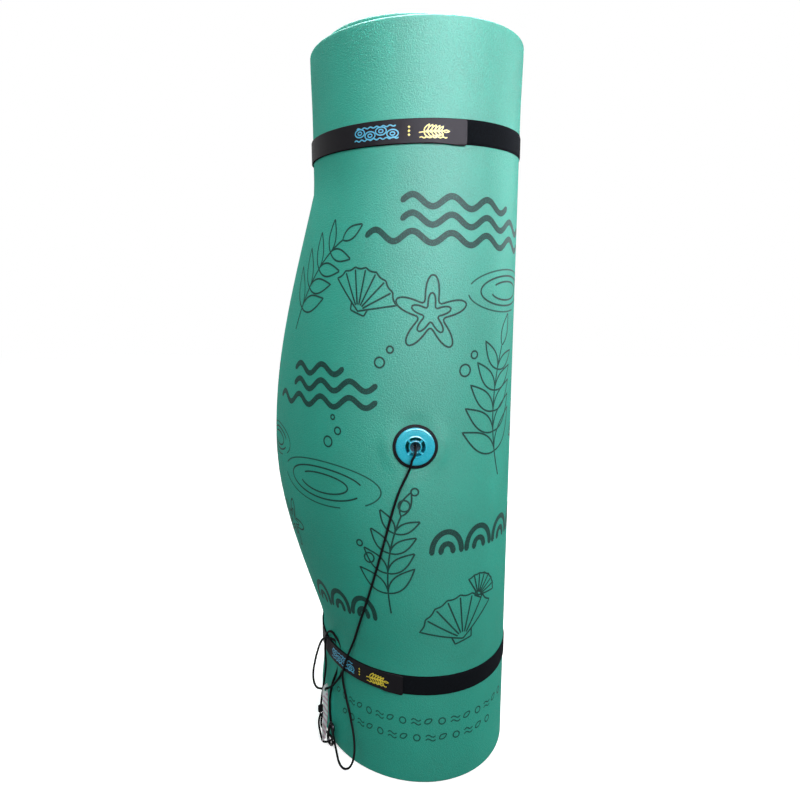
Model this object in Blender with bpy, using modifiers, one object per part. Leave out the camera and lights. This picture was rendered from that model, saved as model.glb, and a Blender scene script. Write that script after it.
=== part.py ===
"""Swim float mat, rolled up and held by its two hook-and-loop straps.

Metres, +Z up. The roll stands on one end. The origin is on the floor, in the
middle of the rolled mat's footprint. The mat is one long sheet of two foam plies
with a net between them, wound in a slightly oval spiral. Its free end is at the
back left and bulges away from the next turn between the straps. A two-part
grommet near that end holds a shock cord, which is tucked under the lower strap
and carries a small carabiner and a card.
"""
import math

import bmesh
import bpy
import numpy as np
from mathutils import Matrix, Vector

# The sheet
MAT_LENGTH = 5.49
MAT_WIDTH = 1.83
MAT_THICKNESS = 0.035
NET_THICKNESS = 0.0008
TURN_GAP = 0.0015
FIT_GAP = 0.0003

# The roll: the sheet is wound on a hollow core, slightly oval
CORE_RADIUS = 0.07365
ROLL_OVAL = 0.020
OVAL_TURN = math.radians(-66)
FREE_END = math.radians(-200)
FACETS_PER_TURN = 48
AXIS_X = 0.0795
AXIS_Y = 0.0170

# The free end's bulge between the straps, and its small flares past them
BULGE = 0.170
BULGE_ABOVE_STRAP = 0.039
BULGE_BELOW_STRAP = 0.069
BULGE_PEAK_SHARE = 0.415
BULGE_SWEEP = math.radians(150)
BULGE_ROW_SHARES = (0.0, 0.0905, 0.1853, 0.2888, 0.3922, 0.5043, 0.6250, 0.7457, 0.8750, 1.0)
END_TOP_FLARE = 0.002
END_TOP_ABOVE_STRAP = 0.004
END_TOP_ROW_SHARE = 0.45
END_FOOT_FLARE = 0.013
END_FOOT_FLAT = 0.080
END_FOOT_BELOW_STRAP = 0.034
END_FOOT_ROW_SHARE = 0.571

# The second turn has slipped up a little at the left
SLIP = 0.030
SLIP_START = math.radians(200)
SLIP_FULL = math.radians(370)
SLIP_FALL = math.radians(385)
SLIP_END = math.radians(555)

# Straps: a loop band all round, and a printed hook tab that closes over it
STRAP_WIDTH = 0.052
TAB_WIDTH = 0.050
BAND_THICKNESS = 0.0020
TAB_THICKNESS = 0.0018
BAND_MEETING_GAP = 0.010
TOP_STRAP_DROP = 0.230
BOTTOM_STRAP_HEIGHT = 0.280
BAND_START = math.radians(-170)
TAB_ROOT = math.radians(-197)
TOP_HINGE = math.radians(-101)
TOP_TAB_END = math.radians(-68.5)
BOTTOM_HINGE = math.radians(-125.5)
BOTTOM_TAB_END = math.radians(-102.2)
THREAD_RADIUS = 0.0004
SEAM_RUNGS = 6
SEAM_START_SHARE = 1.25
SEAM_END_SHARE = 1.80
SEAM_WIDTH_SHARE = 0.80

# Grommet, measured from the foam's outer face at its middle, outwards
GROMMET_TURN = math.radians(-95.6)
GROMMET_HEIGHT = 0.905
SEAT_DEPTH = 0.0026
GASKET_RADIUS = 0.053
GASKET_THICKNESS = 0.0025
DISC_RADIUS = 0.0455
DISC_EDGE = 0.0015
DISC_RISE = 0.0032
DISC_CROWN = 0.0050
LIP_RISE = 0.0056
LIP_RADIUS = 0.0245
SLEEVE_RADIUS = 0.0270
SLEEVE_BORE = 0.0235
HUB_RADIUS = 0.0151
HUB_BORE = 0.0129
HUB_RISE = 0.0055
CUP_DEPTH = 0.0080
CUP_FLOOR = 0.0025
CUP_HOLE = 0.0040
SPOKE_WIDTH = 0.0080
REAR_SEAT = 0.0355
NUT_RADIUS = 0.0465
NUT_THICKNESS = 0.0040
SLEEVE_LENGTH = 0.0435
WASHER_RADIUS = 0.0090
WASHER_THICKNESS = 0.0012
STOPPER_LENGTH = 0.0140
STOPPER_RADIUS = 0.0070

# Shock cord
CORD_RADIUS = 0.0030
CORD_STEP = 0.068
CORD_BEND_STEP = math.radians(26)
GROOVE_RADIUS = 0.0042

# Knot and end loop
KNOT_HEIGHT = 0.020
KNOT_WIDTH = 0.013

# Carabiner: a D of round rod, with a sprung tube gate on its straight side
CARABINER_PLACE = (-0.2355, -0.1555, 0.0037)
CARABINER_FACE = math.radians(-148)
CARABINER_LEAN = math.radians(4)
ROD_RADIUS = 0.0030
LOWER_BOW = 0.0160
UPPER_BOW = 0.0120
UPPER_BOW_HEIGHT = 0.0520
ROD_END = 0.0170
NOSE_END = 0.0504
HINGE_HEIGHT = 0.0205
TONGUE_RADIUS = 0.0025
TONGUE_THICKNESS = 0.0022
GATE_RADIUS = 0.0025
GATE_FOOT = 0.0182
GATE_TOP = 0.0500
SLOT_WIDTH = 0.0028
SLOT_TOP = 0.0233
GATE_BORE = 0.0017
GATE_BORE_TOP = 0.0365
PIN_RADIUS = 0.0008
PIN_HOLE = 0.0011
PIN_LENGTH = 0.0046
SPRING_RADIUS = 0.00125
SPRING_WIRE = 0.00025
SPRING_FOOT = 0.0237
SPRING_TOP = 0.0358
SPRING_TURNS = 9

# Card on the cord
CARD_WIDTH = 0.028
CARD_BELOW = 0.1430
CARD_ABOVE = 0.0130
CARD_SHOULDER = 0.0050
CARD_TIP_WIDTH = 0.0130
CARD_THICKNESS = 0.0005
CARD_HOLE = 0.0060
CARD_FACE = math.radians(-25)
CARD_FOOT = (-0.2535, -0.1600, 0.0200)
CARD_HOLE_DROP = 0.0010

# The cord leaves the grommet's cup: right, up and out from the cup's middle
CORD_START = (
    (0.0, 0.0, -0.0120),
    (0.0, 0.0, -0.0020),
    (0.0, 0.0, 0.0070),
    (-0.0002, -0.0035, 0.0145),
    (-0.0010, -0.0125, 0.0195),
)
# Then it is led by hand: the turn in degrees, the height, and how far off the foam
CORD_ROUTE = (
    (-96.6, 0.8780, 0.0180),
    (-97.4, 0.8630, 0.0135),
    (-98.5, 0.8480, 0.0085),
    (-100.0, 0.8320, 0.0048),
    (-102.3, 0.8080, 0.0035),
    (-105.0, 0.7700, 0.0034),
    (-109.4, 0.6860, 0.0034),
    (-113.0, 0.6180, 0.0034),
    (-117.0, 0.5480, 0.0034),
    (-121.8, 0.4750, 0.0034),
    (-127.2, 0.4030, 0.0034),
    (-131.6, 0.3500, 0.0045),
    (-134.0, 0.3180, 0.0078),
    (-136.0, 0.2890, 0.0088),
    (-138.0, 0.2590, 0.0085),
    (-139.3, 0.2310, 0.0058),
    (-138.7, 0.2040, 0.0040),
    (-136.8, 0.1750, 0.0037),
    (-134.3, 0.1440, 0.0042),
    (-131.8, 0.1140, 0.0070),
    (-129.4, 0.0850, 0.0130),
    (-127.9, 0.0580, 0.0210),
    (-127.5, 0.0340, 0.0300),
    (-128.7, 0.0140, 0.0380),
    (-131.5, 0.0046, 0.0405),
    (-135.4, 0.0040, 0.0345),
    (-139.6, 0.0045, 0.0220),
    (-143.9, 0.0080, 0.0108),
    (-147.5, 0.0210, 0.0050),
    (-150.0, 0.0430, 0.0037),
    (-151.4, 0.0740, 0.0035),
    (-152.0, 0.1200, 0.0035),
    (-150.6, 0.1640, 0.0035),
    (-148.2, 0.1980, 0.0035),
    (-146.6, 0.2190, 0.0015),
    (-145.8, 0.2370, -0.0030),
    (-145.5, 0.2550, -0.0042),
    (-145.9, 0.2790, -0.0044),
    (-146.5, 0.3030, -0.0041),
    (-147.2, 0.3140, -0.0008),
    (-148.4, 0.3190, 0.0055),
    (-150.4, 0.3185, 0.0125),
    (-153.4, 0.3080, 0.0185),
    (-156.9, 0.2830, 0.0225),
    (-160.0, 0.2470, 0.0270),
    (-162.7, 0.2170, 0.0295),
    (-164.7, 0.1880, 0.0315),
    (-165.5, 0.1630, 0.0328),
    (-164.6, 0.1460, 0.0325),
    (-161.8, 0.1380, 0.0310),
    (-158.5, 0.1400, 0.0285),
    (-155.3, 0.1490, 0.0245),
    (-151.8, 0.1600, 0.0185),
    (-148.2, 0.1770, 0.0135),
    (-145.3, 0.1970, 0.0090),
    (-143.3, 0.2160, 0.0040),
    (-142.2, 0.2340, -0.0024),
    (-141.6, 0.2530, -0.0042),
    (-141.7, 0.2790, -0.0044),
    (-142.1, 0.3040, -0.0041),
    (-143.2, 0.3200, -0.0010),
    (-145.2, 0.3310, 0.0026),
    (-148.0, 0.3370, 0.0036),
    (-151.3, 0.3330, 0.0050),
    (-154.2, 0.3170, 0.0080),
    (-156.0, 0.2920, 0.0088),
    (-156.9, 0.2680, 0.0090),
    (-157.3, 0.2470, 0.0086),
    (-157.6, 0.2200, 0.0068),
    (-157.8, 0.1900, 0.0075),
    (-157.6, 0.1600, 0.0105),
    (-157.3, 0.1300, 0.0140),
    (-157.0, 0.1080, 0.0168),
    (-156.9, 0.0884, 0.0188),
)
KNOT_TURN = math.radians(-156.9)
KNOT_MIDDLE = 0.0780
KNOT_OFF = 0.0190
CARD_TURN = math.radians(-151.8)
CARD_LEVEL = 0.1600
CARD_OFF = 0.0185
# Each stretch that lies under the lower strap: its first and last route point
TUCKED = ((33, 40), (54, 61))
# The end loop, across, towards the foam and up from the carabiner's place
END_LOOP = (
    (-0.0530, -0.0042, 0.0674),
    (-0.0536, -0.0062, 0.0600),
    (-0.0528, -0.0098, 0.0480),
    (-0.0480, -0.0118, 0.0320),
    (-0.0385, -0.0122, 0.0165),
    (-0.0270, -0.0134, 0.0078),
    (-0.0160, -0.0143, 0.0073),
    (-0.0066, -0.0105, 0.0096),
    (-0.0026, -0.0010, 0.0110),
    (-0.0066, 0.0085, 0.0096),
    (-0.0160, 0.0122, 0.0073),
    (-0.0270, 0.0120, 0.0082),
    (-0.0370, 0.0108, 0.0170),
    (-0.0455, 0.0088, 0.0320),
    (-0.0500, 0.0050, 0.0480),
    (-0.0525, 0.0034, 0.0600),
    (-0.0530, 0.0032, 0.0674),
)

TAU = 2 * math.pi
PITCH = MAT_THICKNESS + TURN_GAP
PLY_THICKNESS = (MAT_THICKNESS - NET_THICKNESS - 2 * FIT_GAP) / 2

# The roll's outer face, from the core and the length wound on it
ROLL_RADIUS = MAT_THICKNESS / 2 + math.sqrt((CORE_RADIUS + MAT_THICKNESS / 2) ** 2
                                            + MAT_LENGTH * PITCH / math.pi)

# The bulge and the flares keep clear of the straps
TOP_STRAP_HEIGHT = MAT_WIDTH - TOP_STRAP_DROP
BULGE_FOOT = BOTTOM_STRAP_HEIGHT + STRAP_WIDTH / 2 + BULGE_ABOVE_STRAP
BULGE_TOP = TOP_STRAP_HEIGHT - STRAP_WIDTH / 2 - BULGE_BELOW_STRAP
END_TOP_START = TOP_STRAP_HEIGHT + STRAP_WIDTH / 2 + END_TOP_ABOVE_STRAP
END_FOOT_END = BOTTOM_STRAP_HEIGHT - STRAP_WIDTH / 2 - END_FOOT_BELOW_STRAP
SHEET_ROWS = (0.0, END_FOOT_FLAT,
              END_FOOT_FLAT + END_FOOT_ROW_SHARE * (END_FOOT_END - END_FOOT_FLAT),
              END_FOOT_END,
              *(BULGE_FOOT + share * (BULGE_TOP - BULGE_FOOT) for share in BULGE_ROW_SHARES),
              END_TOP_START, END_TOP_START + END_TOP_ROW_SHARE * (MAT_WIDTH - END_TOP_START),
              MAT_WIDTH)


def clear_scene():
    """Take out whatever the start-up file holds."""
    for item in list(bpy.data.objects):
        bpy.data.objects.remove(item, do_unlink=True)


def make_collection(name):
    """Make a collection in the scene."""
    group = bpy.data.collections.new(name)
    bpy.context.scene.collection.children.link(group)
    return group


def make_material(name, red, green, blue, roughness, metallic=0.0):
    """A plain Principled material, its colour as sRGB shares."""
    material = bpy.data.materials.new(name)
    material.use_nodes = True
    shader = material.node_tree.nodes["Principled BSDF"]
    linear = [((c + 0.055) / 1.055) ** 2.4 if c > 0.04 else c / 12.92
              for c in (red, green, blue)]
    shader.inputs["Base Color"].default_value = (*linear, 1.0)
    shader.inputs["Roughness"].default_value = roughness
    shader.inputs["Metallic"].default_value = metallic
    material.diffuse_color = (*linear, 1.0)
    return material


def solve_sheet_sweep():
    """How far the spiral turns, from the free end in, to use up the sheet."""
    def length(sweep):
        mid = ROLL_RADIUS - MAT_THICKNESS / 2
        swing = (math.sin(2 * (FREE_END + sweep - OVAL_TURN))
                 - math.sin(2 * (FREE_END - OVAL_TURN)))
        return mid * sweep - PITCH * sweep * sweep / (2 * TAU) - 1.5 * ROLL_OVAL * swing

    low, high = 0.0, TAU * 6
    for _ in range(60):
        middle = (low + high) / 2
        if length(middle) < MAT_LENGTH:
            low = middle
        else:
            high = middle
    return low


SHEET_SWEEP = solve_sheet_sweep()
COLUMNS = round(SHEET_SWEEP / TAU * FACETS_PER_TURN)
COLUMN_SWEEP = SHEET_SWEEP / COLUMNS
BULGED_COLUMNS = math.ceil(BULGE_SWEEP / COLUMN_SWEEP)


def smooth_step(value):
    """Rise from 0 to 1 with flat ends."""
    value = min(max(value, 0.0), 1.0)
    return value * value * (3 - 2 * value)


def slip(sweep):
    """How far the turns have slid up along the roll."""
    rise = smooth_step((sweep - SLIP_START) / (SLIP_FULL - SLIP_START))
    fall = smooth_step((sweep - SLIP_FALL) / (SLIP_END - SLIP_FALL))
    return SLIP * rise * (1 - fall)


def bulge(sweep, height):
    """How far the outer turn stands off the spiral."""
    near_end = max(1 - sweep / BULGE_SWEEP, 0.0) ** 2
    share = min(max((height - BULGE_FOOT) / (BULGE_TOP - BULGE_FOOT), 0.0), 1.0)
    if share < BULGE_PEAK_SHARE:
        phase = 0.5 * share / BULGE_PEAK_SHARE
    else:
        phase = 0.5 + 0.5 * (share - BULGE_PEAK_SHARE) / (1 - BULGE_PEAK_SHARE)
    end_top = max((height - END_TOP_START) / (MAT_WIDTH - END_TOP_START), 0.0)
    end_foot = smooth_step((END_FOOT_END - height) / (END_FOOT_END - END_FOOT_FLAT))
    return near_end * (BULGE * math.sin(math.pi * phase)
                       + END_TOP_FLARE * end_top + END_FOOT_FLARE * end_foot)


def face_point(sweep, height, off=0.0):
    """A point on the sheet's outer face, or off it, before any slip."""
    turn = FREE_END + sweep
    reach = ROLL_RADIUS - PITCH * sweep / TAU + ROLL_OVAL * math.cos(2 * (turn - OVAL_TURN))
    slope = -PITCH / TAU - 2 * ROLL_OVAL * math.sin(2 * (turn - OVAL_TURN))
    reach += bulge(sweep, height) + off
    return np.array([reach * math.cos(turn) - slope * math.sin(turn),
                     reach * math.sin(turn) + slope * math.cos(turn),
                     height])


def face_normal(sweep, height):
    """The outer face's true outward normal."""
    turn_step, rise_step = COLUMN_SWEEP / 8, MAT_WIDTH / 400
    along = face_point(sweep + turn_step, height) - face_point(sweep - turn_step, height)
    upward = face_point(sweep, height + rise_step) - face_point(sweep, height - rise_step)
    normal = np.cross(along, upward)
    return normal / np.linalg.norm(normal)


def place_on_foam(turn, height, off):
    """A point off the outer face of the outer turn."""
    return face_point(turn - FREE_END, height, off)


class Builder:
    """Holds the collections and adds named pieces to them."""

    def __init__(self):
        self.parts = make_collection("Swim float mat")
        self.cutters = make_collection("Cutters")
        self.root = self.add_empty("roll_axis", Matrix.Translation((AXIS_X, AXIS_Y, 0)), None)

    def add_empty(self, name, matrix, parent):
        empty = bpy.data.objects.new(name, None)
        empty.parent = parent
        empty.matrix_local = matrix
        empty.empty_display_size = ROLL_RADIUS / 10
        self.parts.objects.link(empty)
        return empty

    def add(self, name, data, material, parent=None):
        item = bpy.data.objects.new(name, data)
        item.parent = parent or self.root
        if material:
            data.materials.clear()
            data.materials.append(material)
            self.parts.objects.link(item)
        else:
            self.cutters.objects.link(item)
            item.display_type = 'WIRE'
            item.hide_render = True
        return item

    def cylinder(self, name, radius, low, high, material=None, parent=None, sides=32,
                 axis='Z', middle=(0.0, 0.0)):
        """A cylinder along an axis of its parent, from low to high."""
        mesh = bpy.data.meshes.new(name)
        shape = bmesh.new()
        bmesh.ops.create_cone(shape, cap_ends=True, segments=sides, radius1=radius,
                              radius2=radius, depth=high - low)
        bmesh.ops.translate(shape, verts=shape.verts, vec=(0, 0, (low + high) / 2))
        if axis == 'Y':
            bmesh.ops.rotate(shape, verts=shape.verts, cent=(0, 0, 0),
                             matrix=Matrix.Rotation(-math.pi / 2, 3, 'X'))
            bmesh.ops.translate(shape, verts=shape.verts, vec=(middle[0], 0, middle[1]))
        else:
            bmesh.ops.translate(shape, verts=shape.verts, vec=(middle[0], middle[1], 0))
        shape.to_mesh(mesh)
        shape.free()
        smooth_round(mesh)
        return self.add(name, mesh, material, parent)

    def box(self, name, size, middle, material=None, parent=None, turn=0.0):
        """A box of this size, about its middle, turned about Z."""
        mesh = bpy.data.meshes.new(name)
        shape = bmesh.new()
        bmesh.ops.create_cube(shape, size=1.0)
        bmesh.ops.scale(shape, verts=shape.verts, vec=size)
        bmesh.ops.translate(shape, verts=shape.verts, vec=middle)
        bmesh.ops.rotate(shape, verts=shape.verts, cent=(0, 0, 0),
                         matrix=Matrix.Rotation(turn, 3, 'Z'))
        shape.to_mesh(mesh)
        shape.free()
        return self.add(name, mesh, material, parent)

    def turned(self, name, profile, material, parent, steps=48):
        """A profile of (radius, height) points, turned about its parent's Z."""
        mesh = bpy.data.meshes.new(name)
        count = len(profile)
        mesh.from_pydata([(r, 0.0, h) for r, h in profile],
                         [(i, (i + 1) % count) for i in range(count)], [])
        item = self.add(name, mesh, material, parent)
        screw = item.modifiers.new("turn", 'SCREW')
        screw.axis = 'Z'
        screw.angle = TAU
        screw.steps = steps
        screw.render_steps = steps
        screw.use_merge_vertices = True
        screw.merge_threshold = 0.00001
        screw.use_smooth_shade = False
        return item

    def tube(self, name, points, radius, material, parent=None, resolution=2):
        """A round tube through the points."""
        curve = bpy.data.curves.new(name, 'CURVE')
        curve.dimensions = '3D'
        curve.bevel_depth = radius
        curve.bevel_resolution = resolution
        curve.use_fill_caps = True
        spline = curve.splines.new('POLY')
        spline.points.add(len(points) - 1)
        for target, point in zip(spline.points, points):
            target.co = (*point, 1.0)
        return self.add(name, curve, material, parent)

    def to_mesh(self, item):
        """Swap a curve object for a welded mesh of the same name."""
        name, parent = item.name, item.parent
        group = item.users_collection[0]
        material = item.data.materials[0] if item.data.materials else None
        bpy.context.view_layer.update()
        evaluated = item.evaluated_get(bpy.context.evaluated_depsgraph_get())
        mesh = bpy.data.meshes.new_from_object(evaluated)
        shape = bmesh.new()
        shape.from_mesh(mesh)
        bmesh.ops.remove_doubles(shape, verts=shape.verts, dist=0.000001)
        shape.to_mesh(mesh)
        shape.free()
        bpy.data.objects.remove(item, do_unlink=True)
        mesh.name = name
        swapped = bpy.data.objects.new(name, mesh)
        swapped.parent = parent
        group.objects.link(swapped)
        if group == self.cutters:
            swapped.display_type = 'WIRE'
            swapped.hide_render = True
        elif material and not mesh.materials:
            mesh.materials.append(material)
        return swapped


def smooth_round(mesh):
    """Shade round pieces smooth, with sharp ends."""
    mesh.shade_smooth()
    mesh.set_sharp_from_angle(angle=math.radians(40))


def combine(item, other, operation='DIFFERENCE'):
    """Cut a piece with a cutter, or join the cutter to it."""
    modifier = item.modifiers.new(other.name, 'BOOLEAN')
    modifier.operation = operation
    modifier.object = other
    modifier.solver = 'EXACT'


def thicken(item, thickness, side):
    """Thicken an open surface outwards for 1, inwards for -1, deeper below -1."""
    solid = item.modifiers.new("thickness", 'SOLIDIFY')
    solid.thickness = thickness
    solid.offset = side
    solid.use_even_offset = True
    solid.use_quality_normals = True
    solid.use_rim = True


def rolled_layer(builder, name, depth, thickness, material):
    """One layer of the sheet: its outer face along the spiral, then thickened."""
    shape = bmesh.new()
    bmesh.ops.create_grid(shape, x_segments=COLUMNS, y_segments=1, size=0.5)

    def column(vert):
        return round((vert.co.x + 0.5) * COLUMNS)

    tall = [edge for edge in shape.edges
            if column(edge.verts[0]) == column(edge.verts[1]) <= BULGED_COLUMNS]
    bmesh.ops.subdivide_edges(shape, edges=tall, cuts=len(SHEET_ROWS) - 2)
    bulged = [face for face in shape.faces
              if max(column(vert) for vert in face.verts) <= BULGED_COLUMNS]
    bmesh.ops.triangulate(shape, faces=bulged)
    for vert in shape.verts:
        height = SHEET_ROWS[round((vert.co.y + 0.5) * (len(SHEET_ROWS) - 1))]
        sweep = column(vert) * COLUMN_SWEEP
        vert.co = Vector(face_point(sweep, height)) + Vector((0, 0, slip(sweep)))
    mesh = bpy.data.meshes.new(name)
    shape.to_mesh(mesh)
    shape.free()
    item = builder.add(name, mesh, material)
    thicken(item, thickness, -1 - 2 * depth / thickness)
    return item


def strap_outline():
    """The taut line round the outer turn, as facet corners and their turns."""
    count = math.floor(TAU / COLUMN_SWEEP) + 1
    points = [(face_point(i * COLUMN_SWEEP, TOP_STRAP_HEIGHT)[:2], i * COLUMN_SWEEP)
              for i in range(count)]
    kept = []
    for entry in points + [points[0]]:
        while len(kept) > 1:
            (ax, ay), (bx, by), (cx, cy) = kept[-2][0], kept[-1][0], entry[0]
            if (bx - ax) * (cy - by) - (by - ay) * (cx - bx) > 0:
                break
            kept.pop()
        kept.append(entry)
    kept.pop()
    return [point for point, _ in kept], [sweep for _, sweep in kept]


def offset_outline(points, distance):
    """Move a closed outline outwards, facets parallel."""
    moved = []
    count = len(points)
    for i in range(count):
        before, here, after = points[i - 1], points[i], points[(i + 1) % count]
        first = (here - before) / np.linalg.norm(here - before)
        second = (after - here) / np.linalg.norm(after - here)
        normal_one = np.array([first[1], -first[0]])
        normal_two = np.array([second[1], -second[0]])
        miter = normal_one + normal_two
        miter = miter / np.linalg.norm(miter)
        moved.append(here + miter * distance / float(miter @ normal_one))
    return moved


def outline_stretch(points, start, end):
    """Part of a closed outline between two places, counted in corners."""
    count = len(points)

    def at(place):
        low = math.floor(place)
        share = place - low
        return points[low % count] * (1 - share) + points[(low + 1) % count] * share

    corners = [k for k in range(math.floor(start) + 1, math.ceil(end))]
    return [at(start)] + [points[k % count] for k in corners] + [at(end)]


def strip(builder, name, line, height, width, thickness, material, pivot=(0.0, 0.0, 0.0)):
    """A flat strip that follows a line round the roll."""
    shape = bmesh.new()
    bmesh.ops.create_grid(shape, x_segments=len(line) - 1, y_segments=1, size=0.5)
    for vert in shape.verts:
        point = line[round((vert.co.x + 0.5) * (len(line) - 1))]
        level = height + vert.co.y * width
        vert.co = Vector((point[0], point[1], level)) - Vector(pivot)
    mesh = bpy.data.meshes.new(name)
    shape.to_mesh(mesh)
    shape.free()
    item = builder.add(name, mesh, material)
    item.location = pivot
    thicken(item, thickness, 1)
    return item


def build_strap(builder, prefix, height, hinge, tab_end, materials):
    """One strap: the band, the hook tab, its free pull end and the seam."""
    corners, sweeps = strap_outline()

    def place(turn):
        return float(np.interp(turn - FREE_END, sweeps, range(len(sweeps))))

    band = offset_outline(corners, FIT_GAP)
    under = offset_outline(corners, 2 * FIT_GAP + BAND_THICKNESS)
    outer = offset_outline(corners, 2 * FIT_GAP + BAND_THICKNESS + TAB_THICKNESS)
    seam = offset_outline(corners, 3 * FIT_GAP + BAND_THICKNESS + TAB_THICKNESS
                          + THREAD_RADIUS)
    start = place(BAND_START)
    facet = COLUMN_SWEEP * ROLL_RADIUS
    loop = outline_stretch(band, start, start + len(corners) - BAND_MEETING_GAP / facet)
    strip(builder, prefix + "loop_band", loop, height, STRAP_WIDTH, BAND_THICKNESS,
          materials["webbing"])
    bend = place(hinge)
    gap = FIT_GAP / facet
    fixed = outline_stretch(under, place(TAB_ROOT), bend - gap / 2)
    strip(builder, prefix + "hook_tab", fixed, height, TAB_WIDTH, TAB_THICKNESS,
          materials["tab"])
    free = outline_stretch(under, bend + gap / 2, place(tab_end))
    pivot_xy = outline_stretch(outer, bend, bend + 1)[0]
    strip(builder, prefix + "pull_end", free, height, TAB_WIDTH, TAB_THICKNESS,
          materials["tab"], (pivot_xy[0], pivot_xy[1], height))
    rungs = []
    for i in range(SEAM_RUNGS):
        share = i / (SEAM_RUNGS - 1)
        spot = SEAM_START_SHARE + (SEAM_END_SHARE - SEAM_START_SHARE) * share
        point = outline_stretch(seam, spot, spot + 1)[0]
        side = 1 if i % 2 == 0 else -1
        for end in (-side, side):
            rungs.append((point[0], point[1],
                          height + end * TAB_WIDTH * SEAM_WIDTH_SHARE / 2))
    builder.tube(prefix + "seam_thread", rungs, THREAD_RADIUS, materials["thread"],
                 resolution=1)


def grommet_matrix():
    """The grommet's place: X to the right, Y up the foam, Z straight out."""
    sweep = GROMMET_TURN - FREE_END
    out = Vector(face_normal(sweep, GROMMET_HEIGHT))
    right = Vector((0, 0, 1)).cross(out).normalized()
    up = out.cross(right)
    matrix = Matrix((right, up, out)).transposed().to_4x4()
    matrix.translation = Vector(face_point(sweep, GROMMET_HEIGHT))
    return matrix


def build_grommet(builder, plies, net, materials):
    """The grommet, and the seats and the hole that it needs in the foam."""
    frame = builder.add_empty("grommet_frame", grommet_matrix(), builder.root)
    outer_ply, inner_ply = plies
    seat = -SEAT_DEPTH
    clear = GASKET_RADIUS + 5 * FIT_GAP
    boss = builder.cylinder("seat_boss", clear, seat - 4 * SEAT_DEPTH, seat, parent=frame,
                            sides=48)
    pocket = builder.cylinder("seat_pocket", clear + FIT_GAP, seat, GASKET_RADIUS,
                              parent=frame, sides=48)
    hole = builder.cylinder("grommet_hole", SLEEVE_RADIUS + 2 * FIT_GAP, -SLEEVE_LENGTH,
                            GASKET_RADIUS, parent=frame, sides=48)
    rear = builder.cylinder("rear_pocket", clear, -SLEEVE_LENGTH, -REAR_SEAT, parent=frame,
                            sides=48)
    combine(outer_ply, boss, 'UNION')
    combine(outer_ply, pocket)
    for layer in (outer_ply, net, inner_ply):
        combine(layer, hole)
    combine(inner_ply, rear)

    bore = SLEEVE_RADIUS + 2 * FIT_GAP
    low = seat + FIT_GAP
    top = low + GASKET_THICKNESS
    builder.turned("front_gasket", [(GASKET_RADIUS, top), (GASKET_RADIUS, low),
                                    (bore, low), (bore, top)], materials["rubber"], frame)
    rear_top = -REAR_SEAT - FIT_GAP
    rear_low = rear_top - GASKET_THICKNESS
    builder.turned("back_gasket", [(GASKET_RADIUS, rear_top), (GASKET_RADIUS, rear_low),
                                   (bore, rear_low), (bore, rear_top)],
                   materials["rubber"], frame)
    nut_top = rear_low - FIT_GAP
    nut_low = nut_top - NUT_THICKNESS
    builder.turned("back_nut", [(NUT_RADIUS, nut_top), (NUT_RADIUS, nut_low),
                                (bore, nut_low), (bore, nut_top)],
                   materials["disc"], frame)

    base = top + FIT_GAP
    profile = [(LIP_RADIUS, base + LIP_RISE),
               (SLEEVE_RADIUS, base + DISC_CROWN),
               (DISC_RADIUS - 0.055 * DISC_RADIUS, base + DISC_RISE),
               (DISC_RADIUS - 0.018 * DISC_RADIUS, base + 0.75 * DISC_RISE),
               (DISC_RADIUS, base + DISC_EDGE),
               (DISC_RADIUS, base),
               (SLEEVE_RADIUS, base),
               (SLEEVE_RADIUS, -SLEEVE_LENGTH),
               (SLEEVE_BORE, -SLEEVE_LENGTH),
               (SLEEVE_BORE, base + DISC_CROWN)]
    body = builder.turned("grommet_body", profile, materials["disc"], frame)
    cup = -CUP_DEPTH
    hub_profile = [((HUB_RADIUS + HUB_BORE) / 2, base + HUB_RISE),
                   (HUB_RADIUS, base + DISC_CROWN),
                   (HUB_RADIUS, cup - CUP_FLOOR),
                   (CUP_HOLE, cup - CUP_FLOOR),
                   (CUP_HOLE, cup),
                   (HUB_BORE, cup),
                   (HUB_BORE, base + DISC_CROWN)]
    hub = builder.turned("hub", hub_profile, None, frame, steps=32)
    spoke_length = 2 * (SLEEVE_BORE + SLEEVE_RADIUS) / 2
    cross = []
    for i in range(2):
        cross.append(builder.box("spoke_bar_%d" % i,
                                 (spoke_length, SPOKE_WIDTH, base + DISC_CROWN / 2),
                                 (0, 0, (base + DISC_CROWN / 2) / 2), parent=frame,
                                 turn=math.pi / 4 + i * math.pi / 2))
    core = builder.cylinder("spoke_core", (HUB_BORE + HUB_RADIUS) / 2, -CUP_DEPTH,
                            GASKET_RADIUS, parent=frame, sides=32)
    for bar in cross:
        combine(bar, core)
        combine(body, bar, 'UNION')
    combine(body, hub, 'UNION')

    washer_top = cup - CUP_FLOOR - FIT_GAP
    washer_low = washer_top - WASHER_THICKNESS
    washer_hole = CORD_RADIUS + 2 * FIT_GAP
    builder.turned("stopper_washer", [(WASHER_RADIUS, washer_top), (WASHER_RADIUS, washer_low),
                                      (washer_hole, washer_low), (washer_hole, washer_top)],
                   materials["steel"], frame, steps=24)
    knot_top = CORD_START[0][2] - FIT_GAP
    add_knot(builder, "stopper_knot", (0, 0, knot_top - STOPPER_LENGTH / 2),
             (2 * STOPPER_RADIUS, 2 * STOPPER_RADIUS, STOPPER_LENGTH), materials["cord"], frame)
    return frame


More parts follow.
